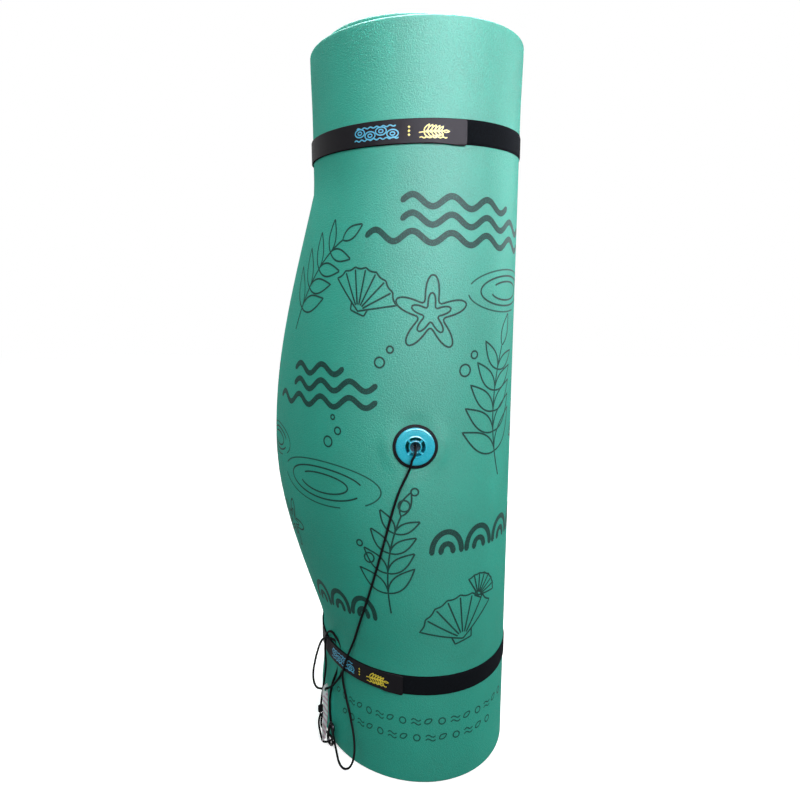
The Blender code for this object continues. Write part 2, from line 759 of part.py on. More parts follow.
def add_knot(builder, name, middle, size, material, parent=None):
    """A pulled-down knot as one rounded lump with flat ends."""
    mesh = bpy.data.meshes.new(name)
    shape = bmesh.new()
    bmesh.ops.create_uvsphere(shape, u_segments=12, v_segments=8, radius=0.5)
    for vert in shape.verts:
        vert.co.z = max(min(vert.co.z, 0.46), -0.46) / 0.92
    bmesh.ops.scale(shape, verts=shape.verts, vec=size)
    bmesh.ops.remove_doubles(shape, verts=shape.verts, dist=0.000001)
    bmesh.ops.translate(shape, verts=shape.verts, vec=middle)
    shape.to_mesh(mesh)
    shape.free()
    smooth_round(mesh)
    return builder.add(name, mesh, material, parent)


def natural_spline(points):
    """A natural cubic spline through points, with the length as its parameter."""
    points = np.array(points, dtype=float)
    steps = np.linalg.norm(np.diff(points, axis=0), axis=1)
    knots = np.concatenate([[0.0], np.cumsum(steps)])
    count = len(points)
    matrix = np.eye(count)
    right = np.zeros((count, 3))
    for i in range(1, count - 1):
        matrix[i, i - 1] = steps[i - 1]
        matrix[i, i] = 2 * (steps[i - 1] + steps[i])
        matrix[i, i + 1] = steps[i]
        right[i] = 6 * ((points[i + 1] - points[i]) / steps[i]
                        - (points[i] - points[i - 1]) / steps[i - 1])
    bends = np.linalg.solve(matrix, right)

    def sample(place):
        k = min(max(int(np.searchsorted(knots, place)) - 1, 0), count - 2)
        size = steps[k]
        a, b = (knots[k + 1] - place) / size, (place - knots[k]) / size
        return (a * points[k] + b * points[k + 1]
                + ((a ** 3 - a) * bends[k] + (b ** 3 - b) * bends[k + 1]) * size ** 2 / 6)

    return sample, knots


def cord_line(points, start=0, end=None, fine=False):
    """Points along a smooth cord, closer together where it bends."""
    sample, knots = natural_spline(points)
    first = knots[start]
    last = knots[-1 if end is None else end]
    dense = np.array([sample(first + (last - first) * i / 4000) for i in range(4001)])
    legs = np.diff(dense, axis=0)
    sizes = np.linalg.norm(legs, axis=1)
    heads = legs / sizes[:, None]
    turns = np.arccos(np.clip(np.sum(heads[1:] * heads[:-1], axis=1), -1, 1))
    weight = sizes / CORD_STEP
    weight[1:] += turns / (CORD_BEND_STEP / (2 if fine else 1))
    total = np.concatenate([[0.0], np.cumsum(weight)])
    count = max(int(math.ceil(total[-1])), 2)
    places = np.interp(np.linspace(0, total[-1], count + 1), total, np.arange(len(total)))
    return [dense[int(round(p))] for p in places]


def cord_points(frame_matrix):
    """The whole route of the shock cord, grommet to knot."""
    points = [np.array(frame_matrix @ Vector(p)) for p in CORD_START]
    points += [place_on_foam(math.radians(turn), height, off)
               for turn, height, off in CORD_ROUTE]
    return points


def build_cord(builder, outer_ply, materials):
    """The shock cord, its two tucked stretches, the knot and the end loop."""
    points = cord_points(grommet_matrix())
    builder.tube("bungee_cord", cord_line(points), CORD_RADIUS, materials["cord"])
    first = len(CORD_START)
    for i, (start, end) in enumerate(TUCKED):
        groove = builder.tube("cord_groove_%d" % i,
                              cord_line(points, first + start, first + end),
                              GROOVE_RADIUS, None)
        combine(outer_ply, builder.to_mesh(groove))
    knot = place_on_foam(KNOT_TURN, KNOT_MIDDLE, KNOT_OFF)
    add_knot(builder, "end_knot", tuple(knot), (KNOT_WIDTH, KNOT_WIDTH, KNOT_HEIGHT),
             materials["cord"])
    across = Vector((-math.sin(CARABINER_FACE), math.cos(CARABINER_FACE), 0))
    inward = Vector((-math.cos(CARABINER_FACE), -math.sin(CARABINER_FACE), 0))
    place = Vector((CARABINER_PLACE[0], CARABINER_PLACE[1], 0))
    loop = [place + across * a + inward * b + Vector((0, 0, c)) for a, b, c in END_LOOP]
    builder.tube("end_loop", cord_line(loop), CORD_RADIUS, materials["cord"])


def carabiner_matrix():
    """The carabiner's place: X across, Z up its straight side, leaning inwards."""
    across = Vector((-math.sin(CARABINER_FACE), math.cos(CARABINER_FACE), 0))
    inward = Vector((-math.cos(CARABINER_FACE), -math.sin(CARABINER_FACE), 0))
    up = Vector((0, 0, math.cos(CARABINER_LEAN))) + inward * math.sin(CARABINER_LEAN)
    matrix = Matrix((across, up.cross(across), up)).transposed().to_4x4()
    matrix.translation = Vector(CARABINER_PLACE)
    return matrix


def arc(middle, radius, start, end, count):
    """Points on an arc in the X-Z plane, angles in degrees from +X."""
    points = []
    for i in range(count + 1):
        angle = math.radians(start + (end - start) * i / count)
        points.append((middle[0] + radius * math.cos(angle), 0.0,
                       middle[1] + radius * math.sin(angle)))
    return points


def build_carabiner(builder, materials):
    """The rod body, the tube gate, its pin and its spring."""
    frame = builder.add_empty("carabiner_frame", carabiner_matrix(), builder.root)
    gate_side = LOWER_BOW
    upper_middle = (gate_side - UPPER_BOW, UPPER_BOW_HEIGHT)
    path = [(gate_side, 0.0, ROD_END)]
    path += arc((0.0, LOWER_BOW), LOWER_BOW, 0, -190, 13)
    path += arc(upper_middle, UPPER_BOW, 170, 0, 11)
    path.append((gate_side, 0.0, NOSE_END))
    body = builder.to_mesh(builder.tube("carabiner_body", path, ROD_RADIUS,
                                        materials["anodised"], frame, 4))
    blade = builder.box("tongue_blade", (1.9 * TONGUE_RADIUS, 0.94 * TONGUE_THICKNESS,
                                         HINGE_HEIGHT - ROD_END + ROD_RADIUS / 2),
                        (gate_side, 0, (HINGE_HEIGHT + ROD_END - ROD_RADIUS / 2) / 2),
                        parent=frame)
    tip = builder.cylinder("tongue_tip", TONGUE_RADIUS, -TONGUE_THICKNESS / 2,
                           TONGUE_THICKNESS / 2, parent=frame, sides=24, axis='Y',
                           middle=(gate_side, HINGE_HEIGHT))
    combine(blade, tip, 'UNION')
    eye = builder.cylinder("pin_eye", PIN_HOLE, -ROD_RADIUS, ROD_RADIUS, parent=frame,
                           sides=16, axis='Y', middle=(gate_side, HINGE_HEIGHT))
    combine(body, blade, 'UNION')
    combine(body, eye)

    hinge = builder.add_empty("gate_hinge", Matrix.Translation((gate_side, 0, HINGE_HEIGHT)),
                              frame)
    gate = builder.cylinder("carabiner_gate", GATE_RADIUS, GATE_FOOT - HINGE_HEIGHT,
                            GATE_TOP - HINGE_HEIGHT, materials["anodised"], hinge, sides=16)
    slot = builder.box("gate_slot", (4 * GATE_RADIUS, SLOT_WIDTH, SLOT_TOP),
                       (0, 0, SLOT_TOP / 2 - HINGE_HEIGHT), parent=hinge)
    bore = builder.cylinder("gate_bore", GATE_BORE, -GATE_RADIUS,
                            GATE_BORE_TOP - HINGE_HEIGHT, parent=hinge, sides=16)
    gate_eye = builder.cylinder("gate_eye", PIN_HOLE, -ROD_RADIUS, ROD_RADIUS, parent=hinge,
                                sides=16, axis='Y')
    for cutter in (slot, bore, gate_eye):
        combine(gate, cutter)
    builder.cylinder("gate_pin", PIN_RADIUS, -PIN_LENGTH / 2, PIN_LENGTH / 2,
                     materials["steel"], frame, sides=12, axis='Y',
                     middle=(gate_side, HINGE_HEIGHT))
    coil = []
    for i in range(SPRING_TURNS * 8 + 1):
        angle = TAU * i / 8
        rise = (SPRING_TOP - SPRING_FOOT) * i / (SPRING_TURNS * 8)
        coil.append((SPRING_RADIUS * math.cos(angle), SPRING_RADIUS * math.sin(angle),
                     SPRING_FOOT + rise - HINGE_HEIGHT))
    builder.tube("gate_spring", coil, SPRING_WIRE, materials["steel"], hinge, 1)


def build_card(builder, materials):
    """The card, hanging on the cord by its hole."""
    hole = Vector(place_on_foam(CARD_TURN, CARD_LEVEL, CARD_OFF))
    hole.z -= CARD_HOLE_DROP
    up = (hole - Vector(CARD_FOOT)).normalized()
    face = Vector((math.cos(CARD_FACE), math.sin(CARD_FACE), 0))
    face = (face - up * face.dot(up)).normalized()
    matrix = Matrix((up.cross(face), up, face)).transposed().to_4x4()
    matrix.translation = hole
    frame = builder.add_empty("card_hinge", matrix, builder.root)
    curve = bpy.data.curves.new("tag_card", 'CURVE')
    curve.dimensions = '2D'
    curve.fill_mode = 'BOTH'
    curve.extrude = CARD_THICKNESS / 2
    half, tip = CARD_WIDTH / 2, CARD_TIP_WIDTH / 2
    outline = [(-half, -CARD_BELOW), (half, -CARD_BELOW), (half, CARD_SHOULDER),
               (tip, CARD_ABOVE), (-tip, CARD_ABOVE), (-half, CARD_SHOULDER)]
    ring = [(CARD_HOLE * math.cos(TAU * i / 24), CARD_HOLE * math.sin(TAU * i / 24))
            for i in range(24)]
    for line in (outline, ring):
        spline = curve.splines.new('POLY')
        spline.points.add(len(line) - 1)
        for target, (x, y) in zip(spline.points, line):
            target.co = (x, y, 0.0, 1.0)
        spline.use_cyclic_u = True
    builder.add("tag_card", curve, materials["card"], frame)


def main():
    clear_scene()
    materials = {
        "foam": make_material("closed cell foam", 0.24, 0.66, 0.57, 0.55),
        "net": make_material("nylon net", 0.85, 0.86, 0.84, 0.8),
        "webbing": make_material("loop webbing", 0.07, 0.07, 0.08, 0.95),
        "tab": make_material("printed hook tab", 0.11, 0.11, 0.12, 0.7),
        "thread": make_material("seam thread", 0.05, 0.05, 0.06, 0.8),
        "rubber": make_material("rubber gasket", 0.04, 0.04, 0.05, 0.7),
        "disc": make_material("moulded plastic", 0.23, 0.74, 0.84, 0.3),
        "steel": make_material("stainless steel", 0.75, 0.76, 0.77, 0.3, 1.0),
        "cord": make_material("shock cord sheath", 0.05, 0.05, 0.06, 0.85),
        "anodised": make_material("black anodised alloy", 0.06, 0.06, 0.07, 0.35, 0.6),
        "card": make_material("coated card", 0.93, 0.90, 0.91, 0.6),
    }
    builder = Builder()
    net_depth = PLY_THICKNESS + FIT_GAP
    inner_depth = net_depth + NET_THICKNESS + FIT_GAP
    outer_ply = rolled_layer(builder, "foam_outer_ply", 0.0, PLY_THICKNESS,
                             materials["foam"])
    net = rolled_layer(builder, "reinforcing_net", net_depth, NET_THICKNESS,
                       materials["net"])
    inner_ply = rolled_layer(builder, "foam_inner_ply", inner_depth, PLY_THICKNESS,
                             materials["foam"])
    build_grommet(builder, (outer_ply, inner_ply), net, materials)
    build_cord(builder, outer_ply, materials)
    build_strap(builder, "top_strap_", TOP_STRAP_HEIGHT, TOP_HINGE, TOP_TAB_END, materials)
    build_strap(builder, "bottom_strap_", BOTTOM_STRAP_HEIGHT, BOTTOM_HINGE,
                BOTTOM_TAB_END, materials)
    build_carabiner(builder, materials)
    build_card(builder, materials)


main()
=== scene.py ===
"""Swim float mat, rolled and strapped: the finished model's looks.

Every sheet, strap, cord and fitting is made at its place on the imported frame.
The foam sheet is modelled flat and wound by a Geometry Nodes modifier, as are
the line prints on it, so both follow the same spiral.
"""

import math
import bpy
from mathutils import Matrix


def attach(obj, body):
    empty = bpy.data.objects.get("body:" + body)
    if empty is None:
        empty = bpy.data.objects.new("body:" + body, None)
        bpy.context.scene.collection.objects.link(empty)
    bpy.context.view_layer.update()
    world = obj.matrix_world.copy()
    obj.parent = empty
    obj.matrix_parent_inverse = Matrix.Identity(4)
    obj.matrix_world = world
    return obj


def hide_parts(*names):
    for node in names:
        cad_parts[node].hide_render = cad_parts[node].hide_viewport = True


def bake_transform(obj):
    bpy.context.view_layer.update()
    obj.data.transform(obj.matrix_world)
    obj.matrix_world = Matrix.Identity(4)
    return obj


bl_info = {
    "name": "Rolled Swim Mat",
    "version": (1, 0, 0),
    "blender": (4, 5, 0),
    "location": "3D View > Sidebar > Swim Mat",
    "description": "Builds a rolled foam swim mat with straps, grommet, shock cord and tag",
    "category": "Add Mesh",
}

import bmesh
import bpy
import numpy as np
from bpy.props import FloatProperty, FloatVectorProperty, IntProperty, PointerProperty
from mathutils import Matrix, Vector

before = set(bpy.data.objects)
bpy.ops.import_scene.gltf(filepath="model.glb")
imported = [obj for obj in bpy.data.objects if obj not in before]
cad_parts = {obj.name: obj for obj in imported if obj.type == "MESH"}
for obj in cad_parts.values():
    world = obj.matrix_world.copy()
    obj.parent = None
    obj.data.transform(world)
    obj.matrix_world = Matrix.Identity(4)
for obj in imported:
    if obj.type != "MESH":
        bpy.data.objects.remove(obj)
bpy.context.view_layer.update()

TAU = 2 * math.pi

# The wound sheet, the same sizes as in the solids
MAT_WIDTH = 1.83
MAT_THICKNESS = 0.035
NET_THICKNESS = 0.0008
FIT_GAP = 0.0003
PLY_THICKNESS = (MAT_THICKNESS - NET_THICKNESS - 2 * FIT_GAP) / 2
MAT_LENGTH = 5.49
ROLL_RADIUS = 0.286
TURN_PITCH = 0.0365
ROLL_OVAL = 0.020
OVAL_TURN = math.radians(-66)
FREE_END = math.radians(-200)
AXIS = np.array((0.0795, 0.0170, 0.0))
BULGE = 0.170
BULGE_FOOT = 0.345
BULGE_TOP = 1.505
BULGE_PEAK = BULGE_FOOT + 0.415 * (BULGE_TOP - BULGE_FOOT)
BULGE_SWEEP = math.radians(150)
END_FLARE = 0.013
END_FLARE_TOP = 0.220
END_FLARE_FULL = 0.080
RIM_FLARE = 0.003
RIM_FLARE_WIDTH = 0.160
SLIP = 0.030
SLIP_SWEEPS = [math.radians(a) for a in (200, 370, 385, 555)]

# The grommet's middle and the straps' heights, bends and ends
GROMMET_TURN = math.radians(-95.6)
GROMMET_HEIGHT = 0.905
SEAT = -0.0024
STRAPS = {
    "top": {"height": 1.600, "hinge": -101.0, "end": -68.5, "body": "top_pull",
            "blue": (-126.5, -105.0), "dots": (-101.2, -98.4), "yellow": (-95.8, -78.0)},
    "bottom": {"height": 0.280, "hinge": -125.5, "end": -102.2, "body": "bottom_pull",
               "blue": (-149.0, -131.0), "dots": (-128.6, -126.4), "yellow": (-123.8, -109.6)},
}
BAND_START = -170.0
TAB_ROOT = -197.0

# The cord's route: first from the cup, right, up and out, then listed as the
# turn in degrees, the height and the distance off the foam
CORD_START = ((0.0, 0.0, -0.0120), (0.0, 0.0, -0.0020), (0.0, 0.0, 0.0070),
              (-0.0002, -0.0035, 0.0145), (-0.0010, -0.0125, 0.0195))
CORD_ROUTE = (
    (-96.6, 0.8780, 0.0180), (-97.4, 0.8630, 0.0135), (-98.5, 0.8480, 0.0085),
    (-100.0, 0.8320, 0.0048), (-102.3, 0.8080, 0.0035), (-105.0, 0.7700, 0.0034),
    (-109.4, 0.6860, 0.0034), (-113.0, 0.6180, 0.0034), (-117.0, 0.5480, 0.0034),
    (-121.8, 0.4750, 0.0034), (-127.2, 0.4030, 0.0034), (-131.6, 0.3500, 0.0045),
    (-134.0, 0.3180, 0.0078), (-136.0, 0.2890, 0.0088), (-138.0, 0.2590, 0.0085),
    (-139.3, 0.2310, 0.0058), (-138.7, 0.2040, 0.0040), (-136.8, 0.1750, 0.0037),
    (-134.3, 0.1440, 0.0042), (-131.8, 0.1140, 0.0070), (-129.4, 0.0850, 0.0130),
    (-127.9, 0.0580, 0.0210), (-127.5, 0.0340, 0.0300), (-128.7, 0.0140, 0.0380),
    (-131.5, 0.0046, 0.0405), (-135.4, 0.0040, 0.0345), (-139.6, 0.0045, 0.0220),
    (-143.9, 0.0080, 0.0108), (-147.5, 0.0210, 0.0050), (-150.0, 0.0430, 0.0037),
    (-151.4, 0.0740, 0.0035), (-152.0, 0.1200, 0.0035), (-150.6, 0.1640, 0.0035),
    (-148.2, 0.1980, 0.0035), (-146.6, 0.2190, 0.0015), (-145.8, 0.2370, -0.0030),
    (-145.5, 0.2550, -0.0042), (-145.9, 0.2790, -0.0044), (-146.5, 0.3030, -0.0041),
    (-147.2, 0.3140, -0.0008), (-148.4, 0.3190, 0.0055), (-150.4, 0.3185, 0.0125),
    (-153.4, 0.3080, 0.0185), (-156.9, 0.2830, 0.0225), (-160.0, 0.2470, 0.0270),
    (-162.7, 0.2170, 0.0295), (-164.7, 0.1880, 0.0315), (-165.5, 0.1630, 0.0328),
    (-164.6, 0.1460, 0.0325), (-161.8, 0.1380, 0.0310), (-158.5, 0.1400, 0.0285),
    (-155.3, 0.1490, 0.0245), (-151.8, 0.1600, 0.0185), (-148.2, 0.1770, 0.0135),
    (-145.3, 0.1970, 0.0090), (-143.3, 0.2160, 0.0040), (-142.2, 0.2340, -0.0024),
    (-141.6, 0.2530, -0.0042), (-141.7, 0.2790, -0.0044), (-142.1, 0.3040, -0.0041),
    (-143.2, 0.3200, -0.0010), (-145.2, 0.3310, 0.0026), (-148.0, 0.3370, 0.0036),
    (-151.3, 0.3330, 0.0050), (-154.2, 0.3170, 0.0080), (-156.0, 0.2920, 0.0088),
    (-156.9, 0.2680, 0.0090), (-157.3, 0.2470, 0.0086), (-157.6, 0.2200, 0.0068),
    (-157.8, 0.1900, 0.0075), (-157.6, 0.1600, 0.0105), (-157.3, 0.1300, 0.0140),
    (-157.0, 0.1080, 0.0168), (-156.9, 0.0884, 0.0188),
)
TUCKED = ((33, 40), (54, 61))
KNOT_PLACE = (math.radians(-156.9), 0.0780, 0.0190)
END_LOOP = (
    (-0.0530, -0.0042, 0.0674), (-0.0536, -0.0062, 0.0600), (-0.0528, -0.0098, 0.0480),
    (-0.0480, -0.0118, 0.0320), (-0.0385, -0.0122, 0.0165), (-0.0270, -0.0134, 0.0078),
    (-0.0160, -0.0143, 0.0073), (-0.0066, -0.0105, 0.0096), (-0.0026, -0.0010, 0.0110),
    (-0.0066, 0.0085, 0.0096), (-0.0160, 0.0122, 0.0073), (-0.0270, 0.0120, 0.0082),
    (-0.0370, 0.0040, 0.0170), (-0.0455, -0.0045, 0.0320), (-0.0500, -0.0035, 0.0480),
    (-0.0525, 0.0005, 0.0600), (-0.0530, 0.0026, 0.0674),
)
CORD_DIAMETER = 0.006

# The snap hook and the tag
HOOK_PLACE = np.array((-0.2355, -0.1555, 0.0037))
HOOK_FACE = math.radians(-148)
HOOK_LEAN = math.radians(4)
HOOK_ACROSS = np.array((-math.sin(HOOK_FACE), math.cos(HOOK_FACE), 0.0))
HOOK_INWARD = np.array((-math.cos(HOOK_FACE), -math.sin(HOOK_FACE), 0.0))
TAG_HOLE = (math.radians(-151.8), 0.1600, 0.0185)
TAG_FACE = math.radians(-25)
TAG_FOOT = np.array((-0.2535, -0.1600, 0.0200))

# Edges sharper than this many degrees stay sharp, and points closer than this are one
SHARP = 35.0
MERGE = 0.000001
# How far to each side of a point its direction is taken
SIDESTEP = 0.006


def srgb(code):
    """A hex colour as linear RGBA."""
    shares = [int(code[i:i + 2], 16) / 255 for i in (1, 3, 5)]
    return (*[c / 12.92 if c <= 0.04045 else ((c + 0.055) / 1.055) ** 2.4 for c in shares], 1.0)


def tones(colour, dark, light):
    """A darker and a lighter tone of a colour."""
    return [(*[c * share for c in colour[:3]], 1.0) for share in (dark, light)]


def smooth(value):
    """Rise from 0 to 1 with flat ends."""
    value = np.clip(value, 0.0, 1.0)
    return value * value * (3 - 2 * value)


def run_along(points):
    """The distance along a line at each of its points."""
    return np.concatenate([[0.0], np.cumsum(np.linalg.norm(np.diff(points, axis=0), axis=1))])


def placed(x, y, across, up, tilt=0.0):
    """Flat points, turned by a tilt in degrees and put at (x, y)."""
    c, s = math.cos(math.radians(tilt)), math.sin(math.radians(tilt))
    return np.stack([x + across * c - up * s, y + across * s + up * c], axis=1)


def ring_line(x, y, wide, tall, start=0.0, end=360.0, count=64):
    """An oval or part of one."""
    t = np.radians(np.linspace(start, end, count))
    return placed(x, y, wide / 2 * np.cos(t), tall / 2 * np.sin(t))


def add_node(tree, kind, inputs=(), **settings):
    """Add a node, set it up and fill or link its inputs."""
    node = tree.nodes.new(kind)
    for name, value in settings.items():
        setattr(node, name, value)
    for key, value in dict(inputs).items():
        if isinstance(value, bpy.types.Node):
            value = value.outputs[0]
        if isinstance(value, bpy.types.NodeSocket):
            tree.links.new(value, node.inputs[key])
        else:
            node.inputs[key].default_value = value
    return node


# ---- where things are ----

def face_point(sweep, height, off=0.0):
    """A point on the sheet's outer face, or off it."""
    turn = FREE_END + sweep
    near_end = np.maximum(1 - sweep / BULGE_SWEEP, 0.0) ** 2
    phase = (0.5 * np.clip((height - BULGE_FOOT) / (BULGE_PEAK - BULGE_FOOT), 0, 1)
             + 0.5 * np.clip((height - BULGE_PEAK) / (BULGE_TOP - BULGE_PEAK), 0, 1))
    foot = smooth((END_FLARE_TOP - height) / (END_FLARE_TOP - END_FLARE_FULL))
    bulge = near_end * (BULGE * np.sin(math.pi * phase) + END_FLARE * foot)
    twice = 2 * (turn - OVAL_TURN)
    reach = ROLL_RADIUS - TURN_PITCH * sweep / TAU + ROLL_OVAL * np.cos(twice) + bulge + off
    slope = -TURN_PITCH / TAU - 2 * ROLL_OVAL * np.sin(twice)
    return np.array((reach * np.cos(turn) - slope * np.sin(turn) + AXIS[0],
                     reach * np.sin(turn) + slope * np.cos(turn) + AXIS[1],
                     height + 0 * turn))


def axes_matrix(right, up, out, place):
    """The matrix of a piece with these axes at a place."""
    matrix = Matrix((right, up, out)).transposed().to_4x4()
    matrix.translation = place
    return matrix


def grommet_matrix():
    """The grommet's place: X to the right, Y up the foam, Z straight out."""
    sweep, level = GROMMET_TURN - FREE_END, GROMMET_HEIGHT
    along = face_point(sweep + 0.016, level) - face_point(sweep - 0.016, level)
    rise = face_point(sweep, level + 0.0046) - face_point(sweep, level - 0.0046)
    out = Vector(np.cross(along, rise)).normalized()
    right = Vector((0, 0, 1)).cross(out).normalized()
    return axes_matrix(right, out.cross(right), out, Vector(face_point(sweep, level)))


def hook_matrix():
    """The snap hook's place: X across, Z up its straight side."""
    across, inward = Vector(HOOK_ACROSS), Vector(HOOK_INWARD)
    up = Vector((0, 0, math.cos(HOOK_LEAN))) + inward * math.sin(HOOK_LEAN)
    return axes_matrix(across, up.cross(across), up, Vector(HOOK_PLACE + AXIS))


def tag_matrix():
    """The tag's place: its hole at the origin, Y up, Z out of its face."""
    hole = Vector(face_point(TAG_HOLE[0] - FREE_END, TAG_HOLE[1], TAG_HOLE[2]))
    hole.z -= 0.001
    up = (hole - Vector(TAG_FOOT + AXIS)).normalized()
    face = Vector((math.cos(TAG_FACE), math.sin(TAG_FACE), 0))
    face = (face - up * face.dot(up)).normalized()
    return axes_matrix(up.cross(face), up, face, hole)


def spline_points(points, step):
    """Even points along a natural cubic spline, and where its knots are among them."""
    points = np.array(points, dtype=float)
    sizes = np.linalg.norm(np.diff(points, axis=0), axis=1)
    knots = run_along(points)
    count = len(points)
    matrix = np.eye(count)
    right = np.zeros((count, 3))
    for i in range(1, count - 1):
        matrix[i, i - 1:i + 2] = sizes[i - 1], 2 * (sizes[i - 1] + sizes[i]), sizes[i]
        right[i] = 6 * ((points[i + 1] - points[i]) / sizes[i]
                        - (points[i] - points[i - 1]) / sizes[i - 1])
    bends = np.linalg.solve(matrix, right)
    places = np.linspace(0, knots[-1], 6000)
    k = np.clip(np.searchsorted(knots, places) - 1, 0, count - 2)
    size = sizes[k][:, None]
    a = (knots[k + 1] - places)[:, None] / size
    b = 1 - a
    dense = (a * points[k] + b * points[k + 1]
             + ((a ** 3 - a) * bends[k] + (b ** 3 - b) * bends[k + 1]) * size ** 2 / 6)
    run = run_along(dense)
    spots = np.linspace(0, run[-1], max(int(run[-1] / step), 4) + 1)
    line = np.stack([np.interp(spots, run, dense[:, i]) for i in range(3)], axis=1)
    return line, np.interp(np.interp(knots, places, run), spots, np.arange(len(spots)))


def cord_knots():
    """The listed points of the shock cord."""
    matrix = grommet_matrix()
    return [np.array(matrix @ Vector(p)) for p in CORD_START] + [
        face_point(math.radians(turn) - FREE_END, height, off) for turn, height, off in CORD_ROUTE]


def loop_knots():
    """The listed points of the end loop."""
    base = HOOK_PLACE * (1, 1, 0) + AXIS
    return [base + HOOK_ACROSS * a + HOOK_INWARD * b + (0, 0, c) for a, b, c in END_LOOP]


class StrapLine:
    """The taut line that both straps follow, by turn or by distance."""

    def __init__(self):
        sweeps = np.linspace(0, TAU, 1441)
        points = face_point(sweeps, STRAPS["top"]["height"])[:2].T
        hull = []
        for i in [*range(len(points)), 0]:
            while len(hull) > 1:
                a, b, c = points[hull[-2]], points[hull[-1]], points[i]
                if (b[0] - a[0]) * (c[1] - b[1]) - (b[1] - a[1]) * (c[0] - b[0]) > 0:
                    break
                hull.pop()
            hull.append(i)
        hull.pop()
        ring = points[hull + hull[:1]]
        turns = np.degrees(FREE_END + sweeps[hull])
        turns = np.append(turns, turns[0] + 360.0)
        run = run_along(ring)
        self.total = run[-1]
        self.turns = np.concatenate([turns[:-1] - 360, turns[:-1], turns + 360])
        self.runs = np.concatenate([run[:-1] - self.total, run[:-1], run + self.total])
        self.ring = np.vstack([ring[:-1], ring[:-1], ring])

    def place(self, turn):
        """The distance along the line for a turn in degrees."""
        return float(np.interp(turn, self.turns, self.runs))

    def point(self, run, level, off):
        """A point off the line, with arrays allowed."""
        run = np.asarray(run, dtype=float)
        behind, here, ahead = ([np.interp(run + shift, self.runs, self.ring[:, i])
                                for i in (0, 1)] for shift in (-SIDESTEP, 0.0, SIDESTEP))
        tx, ty = ahead[0] - behind[0], ahead[1] - behind[1]
        size = np.hypot(tx, ty)
        return np.stack([here[0] + ty / size * off, here[1] - tx / size * off,
                         level + 0 * run], axis=-1)


STRAP_LINE = StrapLine()


# ---- making and finishing meshes ----

def link(name, data):
    """A new object in the scene, at the origin."""
    item = bpy.data.objects.new(name, data)
    bpy.context.scene.collection.objects.link(item)
    return item


def shade(mesh, sharp=SHARP):
    """Shade a mesh smooth, with its sharp edges kept."""
    mesh.shade_smooth()
    mesh.set_sharp_from_angle(angle=math.radians(sharp))


def grid_faces(rows, count, round_rows=False, round_count=True):
    """Quads between neighbouring rows of points, closed round either way."""
    faces = []
    for i in range(rows if round_rows else rows - 1):
        a, b = i * count, (i + 1) % rows * count
        for j in range(count if round_count else count - 1):
            k = (j + 1) % count
            faces.append((a + j, b + j, b + k, a + k))
    return faces


def new_piece(name, vertices, faces, material=None, uvs=None):
    """A mesh object at the origin, with a UV map from places given for its points."""
    mesh = bpy.data.meshes.new(name)
    mesh.from_pydata([tuple(v) for v in vertices], [], [tuple(f) for f in faces])
    if uvs is not None:
        corners = np.concatenate([tuple(f) for f in faces])
        layer = mesh.uv_layers.new(name="UVMap")
        layer.data.foreach_set("uv", np.asarray(uvs, dtype=np.float32)[corners].ravel())
    shade(mesh)
    if material:
        mesh.materials.append(material)
    return link(name, mesh)


def mark(item, **values):
    """Store numbers on a piece's points, for a node tree or a material to read."""
    for label, numbers in values.items():
        layer = item.data.attributes.new(label, 'FLOAT', 'POINT')
        layer.data.foreach_set("value", np.asarray(numbers, dtype=np.float32))


def coat(item, material):
    """Give a piece one material in place of what it has."""
    item.data.materials.clear()
    item.data.materials.append(material)


def dress(piece, body, slot, *nodes):
    """Say what a piece rides on and hide the solids it stands for; the slot is not used."""
    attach(piece, body)
    if nodes:
        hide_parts(*nodes)


def close_up(item, merge=True):
    """Merge doubled points and turn every face outwards."""
    shape = bmesh.new()
    shape.from_mesh(item.data)
    if merge:
        bmesh.ops.remove_doubles(shape, verts=shape.verts, dist=MERGE)
    bmesh.ops.recalc_face_normals(shape, faces=shape.faces)
    shape.to_mesh(item.data)
    shape.free()
    return item


def apply_modifiers(item, sharp=SHARP):
    """Turn the evaluated object into its own plain mesh."""
    bpy.context.view_layer.update()
    evaluated = item.evaluated_get(bpy.context.evaluated_depsgraph_get())
    mesh = bpy.data.meshes.new_from_object(evaluated)
    materials = [slot.material for slot in item.material_slots]
    name = item.name
    if item.type == 'MESH':
        item.modifiers.clear()
        item.data = mesh
    else:
        bpy.data.objects.remove(item, do_unlink=True)
        item = link(name, mesh)
    mesh.name = name
    if not mesh.materials:
        for material in materials:
            mesh.materials.append(material)
    shade(mesh, sharp)
    return item


def cut(item, cutters, operation='DIFFERENCE'):
    """Cut a piece with others, or join them, and remove them."""
    for cutter in cutters:
        modifier = item.modifiers.new(cutter.name, 'BOOLEAN')
        modifier.operation = operation
        modifier.object = cutter
        modifier.solver = 'EXACT'
    item = apply_modifiers(item)
    for cutter in cutters:
        bpy.data.objects.remove(cutter, do_unlink=True)
    return item


def turned(name, profile, steps, place=None, material=None):
    """A profile of (radius, height) points turned about Z, as a closed shell."""
    vertices = []
    for i in range(steps):
        angle = TAU * i / steps
        vertices += [(r * math.cos(angle), r * math.sin(angle), h) for r, h in profile]
    item = new_piece(name, vertices, grid_faces(steps, len(profile), True), material)
    close_up(item)
    if place:
        item.data.transform(place)
    return item


def box_piece(name, size, middle, turn=0.0):
    """A box about its middle, turned about Z."""
    shape = bmesh.new()
    bmesh.ops.create_cube(shape, size=1.0)
    bmesh.ops.scale(shape, verts=shape.verts, vec=size)
    bmesh.ops.translate(shape, verts=shape.verts, vec=middle)
    bmesh.ops.rotate(shape, verts=shape.verts, cent=(0, 0, 0),
                     matrix=Matrix.Rotation(turn, 3, 'Z'))
    mesh = bpy.data.meshes.new(name)
    shape.to_mesh(mesh)
    shape.free()
    return link(name, mesh)


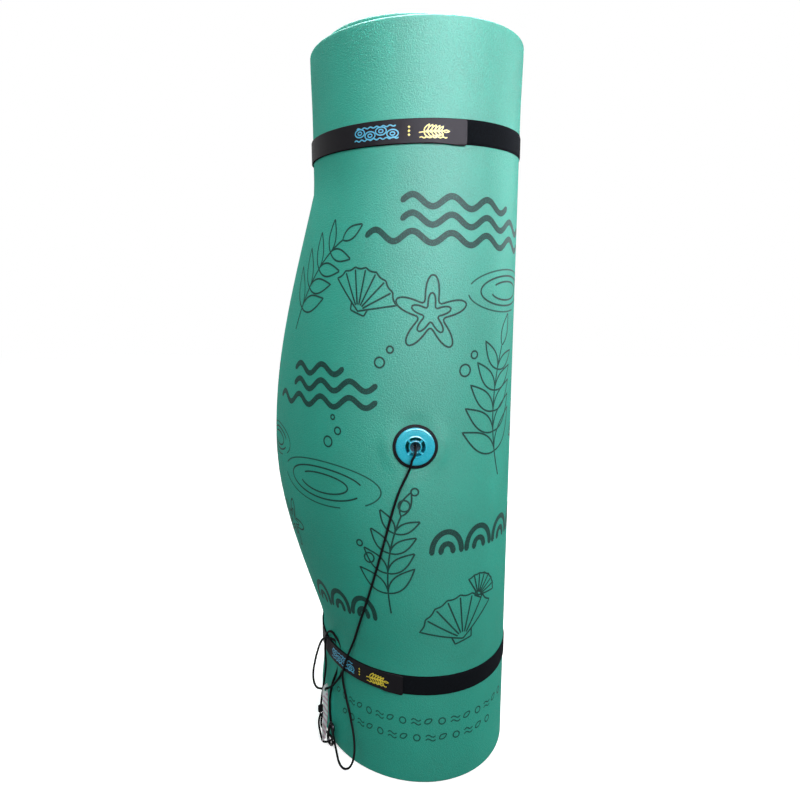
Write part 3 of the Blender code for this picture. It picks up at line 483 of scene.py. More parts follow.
def path_object(name, lines, radii=None, flat=False):
    """Poly curves through the points, open in space or closed and filled flat."""
    curve = bpy.data.curves.new(name, 'CURVE')
    curve.dimensions = '2D' if flat else '3D'
    if flat:
        curve.fill_mode = 'BOTH'
    for line in lines:
        spline = curve.splines.new('POLY')
        spline.points.add(len(line) - 1)
        spline.use_cyclic_u = flat
        for i, (target, point) in enumerate(zip(spline.points, line)):
            target.co = (*point, 1.0)
            if radii:
                target.radius = radii[i]
    return link(name, curve)


# ---- Geometry Nodes ----

FACE_SIZES = (
    ("Roll Radius", 'DISTANCE', ROLL_RADIUS), ("Turn Pitch", 'DISTANCE', TURN_PITCH),
    ("Oval", 'DISTANCE', ROLL_OVAL), ("Oval Turn", 'ANGLE', OVAL_TURN),
    ("Free End Turn", 'ANGLE', FREE_END), ("Bulge", 'DISTANCE', BULGE),
    ("Bulge Foot", 'DISTANCE', BULGE_FOOT), ("Bulge Peak", 'DISTANCE', BULGE_PEAK),
    ("Bulge Top", 'DISTANCE', BULGE_TOP), ("Bulge Sweep", 'ANGLE', BULGE_SWEEP),
    ("End Flare", 'DISTANCE', END_FLARE), ("Rim Flare", 'DISTANCE', RIM_FLARE),
    ("Slip", 'DISTANCE', SLIP), ("Axis X", 'DISTANCE', AXIS[0]), ("Axis Y", 'DISTANCE', AXIS[1]),
)


def new_tree(name, inputs, outputs):
    """A node tree with named sockets."""
    tree = bpy.data.node_groups.new(name, 'GeometryNodeTree')
    for side, sockets in (('INPUT', inputs), ('OUTPUT', outputs)):
        for label, kind, value in sockets:
            measure = kind in ('DISTANCE', 'ANGLE')
            socket = tree.interface.new_socket(
                label, in_out=side, socket_type='NodeSocketFloat' if measure else kind)
            if measure:
                socket.subtype = kind
            if value is not None:
                socket.default_value = value
    return tree


def shape_tree(name, inputs):
    """A node tree that works on a shape, and its group input."""
    tree = new_tree(name, (("Geometry", 'NodeSocketGeometry', None),
                           ("Material", 'NodeSocketMaterial', None), *inputs),
                    (("Geometry", 'NodeSocketGeometry', None),))
    return tree, add_node(tree, 'NodeGroupInput')


def end_tree(tree, group, shape):
    """Make the shape real, give it its material and hand it out."""
    real = add_node(tree, 'GeometryNodeRealizeInstances', {"Geometry": shape})
    finish = add_node(tree, 'GeometryNodeSetMaterial',
                      {"Geometry": real, "Material": group.outputs["Material"]})
    add_node(tree, 'NodeGroupOutput', {"Geometry": finish})
    return tree


def run_tree(item, name, sharp=SHARP, **values):
    """Work a shared tree on an object, its inputs set by identifier, and make it plain."""
    tree = bpy.data.node_groups.get(name) or TREES[name]()
    modifier = item.modifiers.new(name, 'NODES')
    modifier.node_group = tree
    for socket in tree.interface.items_tree:
        if socket.in_out == 'INPUT' and socket.name in values:
            modifier[socket.identifier] = values[socket.name]
    return apply_modifiers(item, sharp)


# The wound face, step by step: each name stands for nested sums of (operation, terms)
FACE_SUMS = (
    ("turn", ('ADD', "Sweep", "Free End Turn")),
    ("twice", ('MULTIPLY', ('SUBTRACT', "turn", "Oval Turn"), 2.0)),
    ("rate", ('DIVIDE', "Turn Pitch", TAU)),
    ("reach_plain", ('MULTIPLY_ADD', "Oval", ('COSINE', "twice"),
                     ('SUBTRACT', "Roll Radius", ('MULTIPLY', "rate", "Sweep")))),
    ("end_left", ('MAXIMUM', ('SUBTRACT', 1.0, ('DIVIDE', "Sweep", "Bulge Sweep")), 0.0)),
    ("near_end", ('MULTIPLY', "end_left", "end_left")),
    ("phase", ('ADD', ('LINEAR', "Height", "Bulge Foot", "Bulge Peak", 0.0, 0.5),
               ('LINEAR', "Height", "Bulge Peak", "Bulge Top", 0.0, 0.5))),
    ("foot", ('SMOOTHSTEP', "Height", END_FLARE_FULL, END_FLARE_TOP, 1.0, 0.0)),
    ("stand_off", ('MULTIPLY_ADD', ('SINE', ('MULTIPLY', "phase", math.pi)), "Bulge",
                   ('MULTIPLY', "foot", "End Flare"))),
    ("rim", ('SMOOTHSTEP', "Height", MAT_WIDTH - RIM_FLARE_WIDTH, MAT_WIDTH, 0.0, 1.0)),
    ("reach", ('MULTIPLY_ADD', "rim", "Rim Flare",
               ('MULTIPLY_ADD', "near_end", "stand_off", "reach_plain"))),
    ("slope", ('SUBTRACT', ('MULTIPLY', ('MULTIPLY', "Oval", ('SINE', "twice")), -2.0), "rate")),
    ("cos_turn", ('COSINE', "turn")),
    ("sin_turn", ('SINE', "turn")),
    ("x", ('SUBTRACT', ('MULTIPLY_ADD', "reach", "cos_turn", "Axis X"),
           ('MULTIPLY', "slope", "sin_turn"))),
    ("y", ('MULTIPLY_ADD', "slope", "cos_turn",
           ('MULTIPLY_ADD', "reach", "sin_turn", "Axis Y"))),
    ("slipped", ('MULTIPLY', ('SMOOTHSTEP', "Sweep", *SLIP_SWEEPS[:2], 0.0, 1.0),
                 ('SMOOTHSTEP', "Sweep", *SLIP_SWEEPS[2:], 1.0, 0.0))),
    ("z", ('MULTIPLY_ADD', "slipped", "Slip", "Height")),
)


def face_tree():
    """The outer face of the wound sheet: sweep and height in, a point out."""
    tree = new_tree("wound_face", (("Sweep", 'ANGLE', 0.0), ("Height", 'DISTANCE', 0.0),
                                   *FACE_SIZES), (("Point", 'NodeSocketVector', None),))
    group = add_node(tree, 'NodeGroupInput')
    found = {socket.name: socket for socket in group.outputs if socket.name}

    def work_out(label, operation, *terms):
        """The socket that holds a sum, after the sums inside it."""
        inputs = {i: work_out("", *term) if isinstance(term, tuple)
                  else found[term] if isinstance(term, str) else term
                  for i, term in enumerate(terms)}
        if operation in ('LINEAR', 'SMOOTHSTEP'):
            return add_node(tree, 'ShaderNodeMapRange', inputs, label=label,
                            interpolation_type=operation).outputs[0]
        return add_node(tree, 'ShaderNodeMath', inputs, label=label,
                        operation=operation).outputs[0]

    for label, terms in FACE_SUMS:
        found[label] = work_out(label, *terms)
    point = add_node(tree, 'ShaderNodeCombineXYZ', {i: found[way] for i, way in enumerate("xyz")})
    add_node(tree, 'NodeGroupOutput', {"Point": point})
    return tree


def winding_tree():
    """Wind a flat mesh that carries sweep, height and off attributes."""
    face = face_tree()
    tree, group = shape_tree("wind_sheet", FACE_SIZES)
    sizes = {label: group.outputs[label] for label, _, _ in FACE_SIZES}
    read = {name: add_node(tree, 'GeometryNodeInputNamedAttribute', {"Name": name},
                           data_type='FLOAT').outputs[0] for name in ("sweep", "height", "off")}
    points = []
    for turn_step, rise_step in ((0, 0), (0.01, 0), (-0.01, 0), (0, 0.005), (0, -0.005)):
        sweep = add_node(tree, 'ShaderNodeMath', {0: read["sweep"], 1: turn_step})
        height = add_node(tree, 'ShaderNodeMath', {0: read["height"], 1: rise_step})
        points.append(add_node(tree, 'GeometryNodeGroup', node_tree=face))
        for label, value in (("Sweep", sweep.outputs[0]), ("Height", height.outputs[0]),
                             *sizes.items()):
            tree.links.new(value, points[-1].inputs[label])
    found = {"centre": points[0]}
    for label, operation, terms in (
            ("along", 'SUBTRACT', {0: points[1], 1: points[2]}),
            ("rise", 'SUBTRACT', {0: points[3], 1: points[4]}),
            ("cross", 'CROSS_PRODUCT', {0: "along", 1: "rise"}),
            ("normal", 'NORMALIZE', {0: "cross"}),
            ("offset", 'SCALE', {0: "normal", "Scale": read["off"]}),
            ("place", 'ADD', {0: "centre", 1: "offset"})):
        terms = {key: found[term] if isinstance(term, str) else term
                 for key, term in terms.items()}
        found[label] = add_node(tree, 'ShaderNodeVectorMath', terms, operation=operation)
    return end_tree(tree, group, add_node(tree, 'GeometryNodeSetPosition', {
        "Geometry": group.outputs["Geometry"], "Position": found["place"]}))


def sheath_tree():
    """A round cord along a curve, with a UV map round and along it."""
    tree, group = shape_tree("cord_sheath", (("Radius", 'DISTANCE', CORD_DIAMETER / 2),
                                             ("Sides", 'NodeSocketInt', 20)))
    steps = add_node(tree, 'ShaderNodeMath', {0: group.outputs["Sides"], 1: 1.0})
    ring = add_node(tree, 'GeometryNodeCurveArc',
                    {"Resolution": steps, "Radius": group.outputs["Radius"],
                     "Sweep Angle": TAU}, mode='RADIUS')
    marked, read = [], []
    for name, curve, measure in (("along", group.outputs["Geometry"], "Length"),
                                 ("around", ring, "Factor")):
        line = add_node(tree, 'GeometryNodeSplineParameter')
        marked.append(add_node(tree, 'GeometryNodeStoreNamedAttribute',
                               {"Geometry": curve, "Name": name, "Value": line.outputs[measure]},
                               data_type='FLOAT', domain='POINT'))
        read.append(add_node(tree, 'GeometryNodeInputNamedAttribute', {"Name": name},
                             data_type='FLOAT').outputs[0])
    tube = add_node(tree, 'GeometryNodeCurveToMesh', {"Curve": marked[0],
                                                      "Profile Curve": marked[1]})
    pair = add_node(tree, 'ShaderNodeCombineXYZ', {0: read[1], 1: read[0]})
    mapped = add_node(tree, 'GeometryNodeStoreNamedAttribute',
                      {"Geometry": tube, "Name": "UVMap", "Value": pair},
                      data_type='FLOAT2', domain='CORNER')
    return end_tree(tree, group, add_node(tree, 'GeometryNodeMergeByDistance', {
        "Geometry": mapped, "Distance": 0.00001}))


def stitch_tree():
    """Stitches at even steps along a curve."""
    tree, group = shape_tree("stitches", (("Stitch Step", 'DISTANCE', 0.0030),
                                          ("Stitch Length", 'DISTANCE', 0.0024),
                                          ("Thread Radius", 'DISTANCE', 0.0004)))
    given = group.outputs
    even = add_node(tree, 'GeometryNodeResampleCurve',
                    {"Curve": given["Geometry"], "Length": given["Stitch Step"]}, mode='LENGTH')
    tangent = add_node(tree, 'GeometryNodeInputTangent')
    turn = add_node(tree, 'FunctionNodeAlignRotationToVector', {"Vector": tangent}, axis='Z')
    ball = add_node(tree, 'GeometryNodeMeshUVSphere', {"Segments": 8, "Rings": 6, "Radius": 1.0})
    half = add_node(tree, 'ShaderNodeMath', {0: given["Stitch Length"], 1: 0.5},
                    operation='MULTIPLY')
    size = add_node(tree, 'ShaderNodeCombineXYZ', {0: given["Thread Radius"],
                                                   1: given["Thread Radius"], 2: half})
    return end_tree(tree, group, add_node(tree, 'GeometryNodeInstanceOnPoints', {
        "Points": even, "Instance": ball, "Rotation": turn, "Scale": size}))


TREES = {"wind_sheet": winding_tree, "cord_sheath": sheath_tree, "stitches": stitch_tree}


# ---- materials ----

def new_material(name):
    """An empty material and its tree."""
    material = bpy.data.materials.new(name)
    material.use_nodes = True
    material.node_tree.nodes.clear()
    return material, material.node_tree


def end_material(material, share, low, high, relief=(), values=()):
    """A material's shader: two tones by a pattern's share, its relief and other values."""
    tree = material.node_tree
    mix = add_node(tree, 'ShaderNodeMix', {0: share, 6: low, 7: high}, data_type='RGBA')
    inputs = {"Base Color": mix.outputs[2], **dict(values)}
    if relief:
        pattern, strength, distance = relief
        inputs["Normal"] = add_node(tree, 'ShaderNodeBump', {
            "Strength": strength, "Distance": distance, "Height": pattern})
    shader = add_node(tree, 'ShaderNodeBsdfPrincipled', inputs)
    add_node(tree, 'ShaderNodeOutputMaterial', {"Surface": shader})
    return material


def foam_material(settings):
    """Cross-linked polyethylene foam: a closed skin with a fine pearly grain."""
    material, tree = new_material("crosslinked_polyethylene_foam")
    place = add_node(tree, 'ShaderNodeTexCoord').outputs["Object"]
    # The skin's cells are about 1 mm; the grain is drawn at about 3 mm so that it shows
    grain = add_node(tree, 'ShaderNodeTexNoise', {
        "Vector": place, "Scale": 1 / settings.grain_size, "Detail": 3.0, "Roughness": 0.65})
    # Slow shifts in tone where the sheet was heated and pressed, about 250 mm across
    cloud = add_node(tree, 'ShaderNodeTexNoise', {"Vector": place, "Scale": 4.0, "Detail": 2.0})
    tone = add_node(tree, 'ShaderNodeMath', {0: grain, 1: cloud}, operation='ADD')
    share = add_node(tree, 'ShaderNodeMapRange', {0: tone, 1: 0.75, 2: 1.25, 3: 0.0, 4: 1.0})
    gloss = add_node(tree, 'ShaderNodeMapRange', {0: grain, 1: 0.3, 2: 0.7, 3: 0.66, 4: 0.54})
    # The pearly skin scatters light at its edges instead of mirroring it
    edge = add_node(tree, 'ShaderNodeLayerWeight', {"Blend": 0.5}).outputs["Facing"]
    pearl = add_node(tree, 'ShaderNodeMapRange', {0: edge, 1: 0.5, 2: 1.0, 3: 0.19, 4: 0.02})
    return end_material(material, share, settings.foam_deep, settings.foam_colour,
                        (grain, 1.0, 0.0014), {"Roughness": gloss, "Specular IOR Level": pearl})


def ink_material(name, ink, foam):
    """Screen-printed ink on foam: thin, slightly broken up by the grain under it."""
    material, tree = new_material(name)
    place = add_node(tree, 'ShaderNodeTexCoord').outputs["Object"]
    # Ink misses the pits of the skin, drawn at about 2 mm
    grain = add_node(tree, 'ShaderNodeTexNoise', {
        "Vector": place, "Scale": 1 / 0.002, "Detail": 2.0, "Roughness": 0.6})
    covered = add_node(tree, 'ShaderNodeMapRange', {0: grain, 1: 0.48, 2: 0.70, 3: 1.0, 4: 0.72})
    return end_material(material, covered, foam, ink,
                        values={"Roughness": 0.6, "Specular IOR Level": 0.08})


def net_material():
    """Nylon net: white yarns 6 mm apart, seen end-on at the cut edges."""
    material, tree = new_material("nylon_net")
    place = add_node(tree, 'ShaderNodeUVMap', uv_map="UVMap")
    yarn = add_node(tree, 'ShaderNodeTexWave', {
        "Vector": place, "Scale": 2 / TAU / 0.006, "Distortion": 0.6, "Detail": 1.0},
                    bands_direction='X')
    return end_material(material, yarn, srgb("#7fbfae"), srgb("#dfe6e1"),
                        values={"Roughness": 0.8})


def loop_material(colour):
    """Loop tape: a brushed nylon pile, matt black with a soft light edge."""
    material, tree = new_material("brushed_nylon_loop_tape")
    place = add_node(tree, 'ShaderNodeTexCoord').outputs["Object"]
    # Loops about 0.5 mm across, drawn at 3.5 mm and finer so that they show
    pile = add_node(tree, 'ShaderNodeTexNoise', {
        "Vector": place, "Scale": 290.0, "Detail": 5.0, "Roughness": 0.8})
    return end_material(material, pile, *tones(colour, 0.2, 2.4), (pile, 0.9, 0.0007),
                        {"Roughness": 0.95, "Specular IOR Level": 0.01, "Sheen Weight": 0.01,
                         "Sheen Roughness": 0.6})


def woven_material(name, colour, step, roughness):
    """Woven nylon: warp and weft crossing at a fixed step, on the strap's own UV map."""
    material, tree = new_material(name)
    place = add_node(tree, 'ShaderNodeUVMap', uv_map="UVMap")
    waves = [add_node(tree, 'ShaderNodeTexWave',
                      {"Vector": place, "Scale": 2 / TAU / step, "Distortion": 0.3},
                      bands_direction=way) for way in 'XY']
    weave = add_node(tree, 'ShaderNodeMath', {0: waves[0], 1: waves[1]}, operation='MULTIPLY')
    # The weave's darker tone between the yarns is painted shade, and its lighter tone on their
    # crossings is a painted highlight.
    return end_material(material, weave, *tones(colour, 0.75, 1.3), (weave, 0.5, 0.0003),
                        {"Roughness": roughness, "Specular IOR Level": 0.045})


def braid_material(colour):
    """Braided polyester sheath: 16 yarns, their diamonds about 2.4 mm apart."""
    material, tree = new_material("braided_polyester_sheath")
    place = add_node(tree, 'ShaderNodeUVMap', uv_map="UVMap")
    split = add_node(tree, 'ShaderNodeSeparateXYZ', {0: place})
    around, along = (add_node(tree, 'ShaderNodeMath', {0: split.outputs[i], 1: rate},
                              operation='MULTIPLY')
                     for i, rate in enumerate((8 * TAU / 2, TAU / 2 / 0.0024)))
    yarns = []
    for operation in ('ADD', 'SUBTRACT'):
        lean = add_node(tree, 'ShaderNodeMath', {0: around, 1: along}, operation=operation)
        ridge = add_node(tree, 'ShaderNodeMath', {0: lean}, operation='SINE')
        yarns.append(add_node(tree, 'ShaderNodeMath', {0: ridge}, operation='ABSOLUTE'))
    braid = add_node(tree, 'ShaderNodeMath', {0: yarns[0], 1: yarns[1]}, operation='MULTIPLY')
    # The braid's darker tone in the hollows between yarns is painted shade, and its lighter tone
    # on the yarns' crowns is a painted highlight.
    return end_material(material, braid, *tones(colour, 0.4, 1.5), (braid, 0.8, 0.0004),
                        {"Roughness": 0.6, "Specular IOR Level": 0.03})


def plain_material(name, colour, roughness, metallic=0.0, grain=900.0, depth=0.0001,
                   specular=0.3):
    """A moulded, turned or rubber surface with a faint grain of its own."""
    material, tree = new_material(name)
    place = add_node(tree, 'ShaderNodeTexCoord').outputs["Object"]
    noise = add_node(tree, 'ShaderNodeTexNoise', {"Vector": place, "Scale": grain, "Detail": 2.0})
    gloss = add_node(tree, 'ShaderNodeMapRange', {
        0: noise, 1: 0.3, 2: 0.7, 3: roughness * 0.8, 4: roughness * 1.2})
    return end_material(material, noise, *tones(colour, 0.92, 1.06), (noise, 0.3, depth),
                        {"Roughness": gloss, "Metallic": metallic,
                         "Specular IOR Level": 0.5 if metallic else specular})


def paint_cup_shade(material, colour):
    """Painted shade down in the cup, where the cord runs: a darker colour mixed in by the cup
    attribute.
    """
    tree = material.node_tree
    base = tree.nodes["Principled BSDF"].inputs["Base Color"]
    cup_shade_share = add_node(tree, 'ShaderNodeAttribute', attribute_name="cup")
    mix = add_node(tree, 'ShaderNodeMix', {
        0: cup_shade_share.outputs["Fac"], 6: base.links[0].from_socket, 7: colour}, data_type='RGBA')
    tree.links.new(mix.outputs[2], base)


def card_material(settings):
    """Coated card: white, with slanting printed waves and a plain top."""
    material, tree = new_material("coated_tag_card")
    place = add_node(tree, 'ShaderNodeUVMap', uv_map="UVMap")
    # Slanting waves about 16 mm apart, printed from 14 mm below the hole down
    waves = add_node(tree, 'ShaderNodeTexWave', {
        "Vector": place, "Scale": 2 / TAU / 0.008, "Distortion": 2.4, "Detail": 1.0,
        "Detail Scale": 0.8}, bands_direction='DIAGONAL')
    split = add_node(tree, 'ShaderNodeSeparateXYZ', {0: place})
    printed = add_node(tree, 'ShaderNodeMath', {0: split.outputs[1], 1: -0.014},
                       operation='LESS_THAN')
    bands = add_node(tree, 'ShaderNodeMapRange', {0: waves, 1: 0.35, 2: 1.0, 3: 0.1, 4: 0.85})
    share = add_node(tree, 'ShaderNodeMath', {0: printed, 1: bands}, operation='MULTIPLY')
    return end_material(material, share, settings.card_colour, settings.block_colour,
                        values={"Roughness": 0.35})


# ---- the line prints, drawn flat: each motif is a list of (points, closed) ----

def stroke(points, width, across=2, closed=False):
    """A line of even width as a flat strip: rows of points from side to side."""
    if closed:
        ahead, behind = np.roll(points, -1, axis=0), np.roll(points, 1, axis=0)
    else:
        ahead, behind = np.vstack([points[1:], points[-1:]]), np.vstack([points[:1], points[:-1]])
    heads = ahead - behind
    heads /= np.maximum(np.linalg.norm(heads, axis=1), 1e-9)[:, None]
    sides = np.stack([-heads[:, 1], heads[:, 0]], axis=1)
    shares = np.linspace(-0.5, 0.5, across + 1)
    grid = np.stack([points + sides * width * share for share in shares], axis=1)
    if not closed:
        inset = np.sqrt(np.maximum(0.25 - shares ** 2, 0))[:, None] * width
        grid = np.concatenate([[grid[0] - heads[0] * inset], grid,
                               [grid[-1] + heads[-1] * inset]])
    faces = grid_faces(len(grid), across + 1, closed, False)
    return grid.reshape(-1, 2), [(a, d, c, b) for a, b, c, d in faces]


def even_line(points, step, closed=False):
    """The same line with points at even steps."""
    points = np.asarray(points, dtype=float)
    if closed:
        points = np.vstack([points, points[:1]])
    run = run_along(points)
    spots = np.linspace(0, run[-1], max(int(run[-1] / step), 3) + 1)
    line = np.stack([np.interp(spots, run, points[:, i]) for i in (0, 1)], axis=1)
    return line[:-1] if closed else line


def inked(lines, step, width, across=2):
    """The flat strips of all the lines: their points and faces."""
    points, faces = [], []
    for line, closed in lines:
        strip, quads = stroke(even_line(line, step, closed), width, across, closed)
        faces += [tuple(len(points) + i for i in quad) for quad in quads]
        points += list(strip)
    return np.array(points), faces


def wave_line(x, y, length, rise, count, lean=0.0):
    """A run of waves, leaning up to the right."""
    t = np.linspace(0, 1, 24 * count)
    return placed(x, y, length * t, lean * t + rise * np.sin(TAU * count * t))


def leaf_line(x, y, length, width, heading):
    """A pointed leaf from its foot along a heading in degrees."""
    t = np.linspace(0, 1, 20)
    side = width / 2 * np.sin(math.pi * t ** 0.8)
    return placed(x, y, length * np.append(t, t[-2:0:-1]), np.append(side, -side[-2:0:-1]),
                  heading)


def dot(x, y, wide):
    """A small ring."""
    return [(ring_line(x, y, wide, wide)[:-1], True)]


def sprig(x, y, size, heading, bend, pairs):
    """A bent stem with pairs of leaves and one at its tip."""
    t = np.linspace(0, 1, 40)
    angle = np.radians(heading + bend * t)
    stem = placed(x, y, size * np.cumsum(np.cos(angle)) / 40,
                  size * np.cumsum(np.sin(angle)) / 40)
    lines = [(stem, False)]
    for i in range(pairs):
        k = int(39 * (0.22 + 0.62 * i / max(pairs - 1, 1)))
        way = heading + bend * t[k]
        reach = size * (0.36 - 0.14 * i / pairs)
        lines += [(leaf_line(*stem[k], reach, reach * 0.36, way + side * 48), True)
                  for side in (-1, 1)]
    return lines + [(leaf_line(*stem[-1], size * 0.24, size * 0.09, heading + bend), True)]


def reed(x, y, height, lean):
    """A long bent blade."""
    t = np.linspace(0, 1, 30)
    side = 0.045 * height * np.sin(math.pi * (0.12 + 0.88 * t)) ** 0.8
    middle = lean * t ** 2
    return [(placed(x, y, np.append(middle - side, (middle + side)[-2::-1]),
                    height * np.append(t, t[-2::-1])), True)]


def ripple_band(x, y, length, count, lean=0.0):
    """Three bold waves in step, one above the other, the upper ones shorter."""
    step = length / count
    return [(wave_line(x + step * first, y + rise + lean * first / count,
                       step * (last - first), 0.0120, last - first,
                       lean * (last - first) / count), False)
            for first, last, rise in ((0, count, 0.0), (1, count, 0.039), (1, count - 1, 0.078))]


def arch_row(x, y, count, wide, lean=0.0):
    """Nested half rings side by side, like scales of water."""
    return [(ring_line(x + wide * (i + 0.5), y + lean * (i + 0.5) / count,
                       wide * share, wide * rise, 0, 180), False)
            for i in range(count) for share, rise in ((0.84, 1.10), (0.34, 0.44))]


def starfish(x, y, size, tilt):
    """A star with five blunt arms and a smaller one inside it."""
    t = np.linspace(0, TAU, 90, endpoint=False)
    reach = size * (0.36 + 0.64 * ((1 + np.cos(5 * t)) / 2) ** 1.5)
    return [(placed(x, y, share * reach * np.cos(t), share * reach * np.sin(t), tilt), True)
            for share in (1.0, 0.55)]


def shell(x, y, size, tilt):
    """A fan shell: a scalloped edge and ribs that meet at its hinge."""
    t = np.radians(np.linspace(-62, 62, 80))
    edge = size * (1 - 0.045 * np.abs(np.sin(np.linspace(0, 7 * math.pi, 80))))
    shapes = [(np.append(edge * np.sin(t), 0), np.append(edge * np.cos(t), 0))]
    rib = np.linspace(0.16, 0.93, 12) * size
    for k in range(1, 7):
        way = math.radians(-62 + 124 * k / 7)
        shapes.append((rib * math.sin(way), rib * math.cos(way)))
    shapes.append((size * np.array((-0.24, -0.20, 0.20, 0.24)),
                   size * np.array((0.12, -0.05, -0.05, 0.12))))
    return [(placed(x, y, across, up, tilt), i == 0) for i, (across, up) in enumerate(shapes)]


def pool(x, y, wide, tall, arcs=((1, 1, 20, 330), (0.66, 0.62, 200, 500))):
    """Open rings on water, one inside the other."""
    return [(ring_line(x, y, wide * a, tall * b, start, end), False)
            for a, b, start, end in arcs]


def pool_rim(x, y, wide, tall):
    """Finer arcs round a pool."""
    return pool(x, y, wide, tall, ((1.36, 1.42, -40, 160), (1.36, 1.42, 190, 290)))


def small_marks(y, start, count):
    """A row of small leaves, rings and ripples in turn."""
    lines = []
    for i in range(count):
        x = start + 0.036 * i
        if i % 3 == 0:
            lines.append((leaf_line(x, y - 0.004, 0.024, 0.013, 30), True))
        elif i % 3 == 1:
            lines += dot(x + 0.011, y, 0.018)
        else:
            lines += [(wave_line(x, y + rise, 0.025, 0.0036, 1), False)
                      for rise in (-0.006, 0.005)]
    return lines


POOLS = ((0.475, 0.790, 0.25, 0.080), (0.985, 1.260, 0.20, 0.070), (1.48, 0.560, 0.24, 0.076),
         (0.24, 0.860, 0.14, 0.060))
# Each ink's motifs on the outer turn: along it from the free end, and up
FOAM_PRINTS = (
    ("heavy", ripple_band, (
        (0.60, 1.385, 0.46, 5, -0.020), (0.27, 0.985, 0.36, 4, 0.020),
        (1.18, 1.120, 0.40, 4, 0.020), (1.26, 0.360, 0.38, 4, 0.0))),
    ("heavy", arch_row, (
        (0.76, 0.640, 4, 0.092, 0.0), (0.36, 0.440, 3, 0.088, 0.015),
        (1.28, 0.700, 4, 0.088, 0.0), (1.22, 1.470, 4, 0.084, 0.0))),
    ("dark", sprig, (
        (0.33, 1.155, 0.30, 70, -42, 4), (0.665, 0.470, 0.27, 100, -32, 4),
        (0.97, 0.800, 0.34, 112, -44, 5), (1.50, 0.820, 0.26, 100, -30, 4),
        (1.12, 0.420, 0.20, 60, 40, 3), (1.60, 1.180, 0.26, 110, -30, 4))),
    ("dark", starfish, ((0.76, 1.210, 0.088, 15), (1.12, 0.905, 0.080, 40),
                        (0.300, 0.640, 0.070, 0), (1.46, 1.340, 0.080, 25))),
    ("dark", shell, ((0.855, 0.400, 0.120, 14), (0.58, 1.215, 0.100, -20),
                     (1.34, 0.900, 0.110, 10), (0.90, 0.505, 0.060, -30))),
    ("dark", pool, POOLS),
    ("pale", pool_rim, POOLS),
    ("dark", dot, (
        (0.500, 0.900, 0.026), (0.530, 0.930, 0.018), (0.515, 0.962, 0.012),
        (0.700, 0.760, 0.028), (0.725, 0.795, 0.018), (0.610, 0.620, 0.026),
        (0.585, 0.655, 0.016), (0.160, 1.020, 0.026), (0.185, 1.055, 0.016),
        (0.640, 1.100, 0.024), (0.665, 1.130, 0.016), (0.845, 1.080, 0.028),
        (0.870, 1.115, 0.018), (1.180, 1.300, 0.030), (1.205, 1.340, 0.018))),
    ("dark", reed, ((0.105, 0.62, 0.30, 0.04), (0.135, 0.60, 0.22, 0.07),
                    (0.080, 0.60, 0.20, -0.03), (1.640, 0.66, 0.30, -0.04),
                    (1.610, 0.64, 0.22, -0.07))),
    ("pale", small_marks, ((0.178, 0.43, 17), (0.132, 0.47, 14))),
)
# Each printed piece's ink, the width of its lines and the steps across them
FOAM_INKS = (("printed_lines", "dark", 0.0044, 2), ("printed_fine_lines", "pale", 0.0036, 2),
             ("printed_waves", "heavy", 0.0140, 4))


def strap_prints(name):
    """A strap's printed motifs, along it and across it, with the width of their lines."""
    (start, end), (dots_start, dots_end), (leaves, leaves_end) = (
        [STRAP_LINE.place(turn) for turn in STRAPS[name][key]]
        for key in ("blue", "dots", "yellow"))
    wide = end - start
    blue = []
    for i in range(4):
        x = start + wide * (0.13 + 0.25 * i)
        blue += [(ring_line(x, 0.0035 * (-1) ** i, wide * share, tall)[:-1], True)
                 for share, tall in ((0.24, 0.0165), (0.10, 0.0070))]
    blue.append((wave_line(start, -0.0120, wide, 0.0016, 7), False))
    blue.append((wave_line(start + wide * 0.06, 0.0128, wide * 0.88, 0.0014, 6), False))
    yellow = []
    for y in (-0.008, 0.0, 0.008):
        yellow += dot((dots_start + dots_end) / 2, y, 0.0034)
    wide = leaves_end - leaves
    yellow += sprig(leaves + wide * 0.04, -0.004, wide * 0.74, 8, -10, 5)
    yellow.append((wave_line(leaves + wide * 0.08, -0.0140, wide * 0.80, 0.0012, 5), False))
    return (("blue", blue, 0.0027), ("yellow", yellow, 0.0024))


# ---- settings ----

def colour_setting(name, description, code):
    """A colour that a user may change, from its hex code."""
    return FloatVectorProperty(name=name, description=description, subtype='COLOR', size=4,
                               min=0, max=1, default=srgb(code))


def number_setting(name, description, default, low, high, unit='LENGTH'):
    """A size, power or strength that a user may change, in metres unless a unit says else."""
    return FloatProperty(name=name, description=description, default=default, min=low, max=high,
                         unit=unit)


class SwimMatFoam(bpy.types.PropertyGroup):
    foam_colour: colour_setting("Foam Colour", "Light tone of the foam", "#16b098")
    foam_deep: colour_setting("Foam Deep Colour", "Deep tone of the foam", "#0f9c86")
    ink_colour: colour_setting("Ink Colour", "Dark ink of the prints", "#0b3a34")
    pale_ink_colour: colour_setting("Pale Ink Colour", "Lighter ink of the finer prints",
                                    "#0d5248")
    rim_radius: number_setting("Rim Radius", "Rounding of the sheet's cut edges",
                               0.0055, 0.001, 0.008)
    grain_size: number_setting("Grain Size", "Size of the skin's grain", 0.0032, 0.0005, 0.01)


class SwimMatStraps(bpy.types.PropertyGroup):
    tape_colour: colour_setting("Loop Tape Colour", "Colour of the pile", "#0e1216")
    tab_colour: colour_setting("Tab Colour", "Colour of the hook tab", "#141317")
    blue_colour: colour_setting("Blue Print", "Blue ink on the tabs", "#4abbe0")
    yellow_colour: colour_setting("Yellow Print", "Yellow ink on the tabs", "#f8e240")
    band_width: number_setting("Band Width", "Width of the loop tape", 0.052, 0.02, 0.08)
    tab_width: number_setting("Tab Width", "Width of the hook tab", 0.050, 0.02, 0.08)


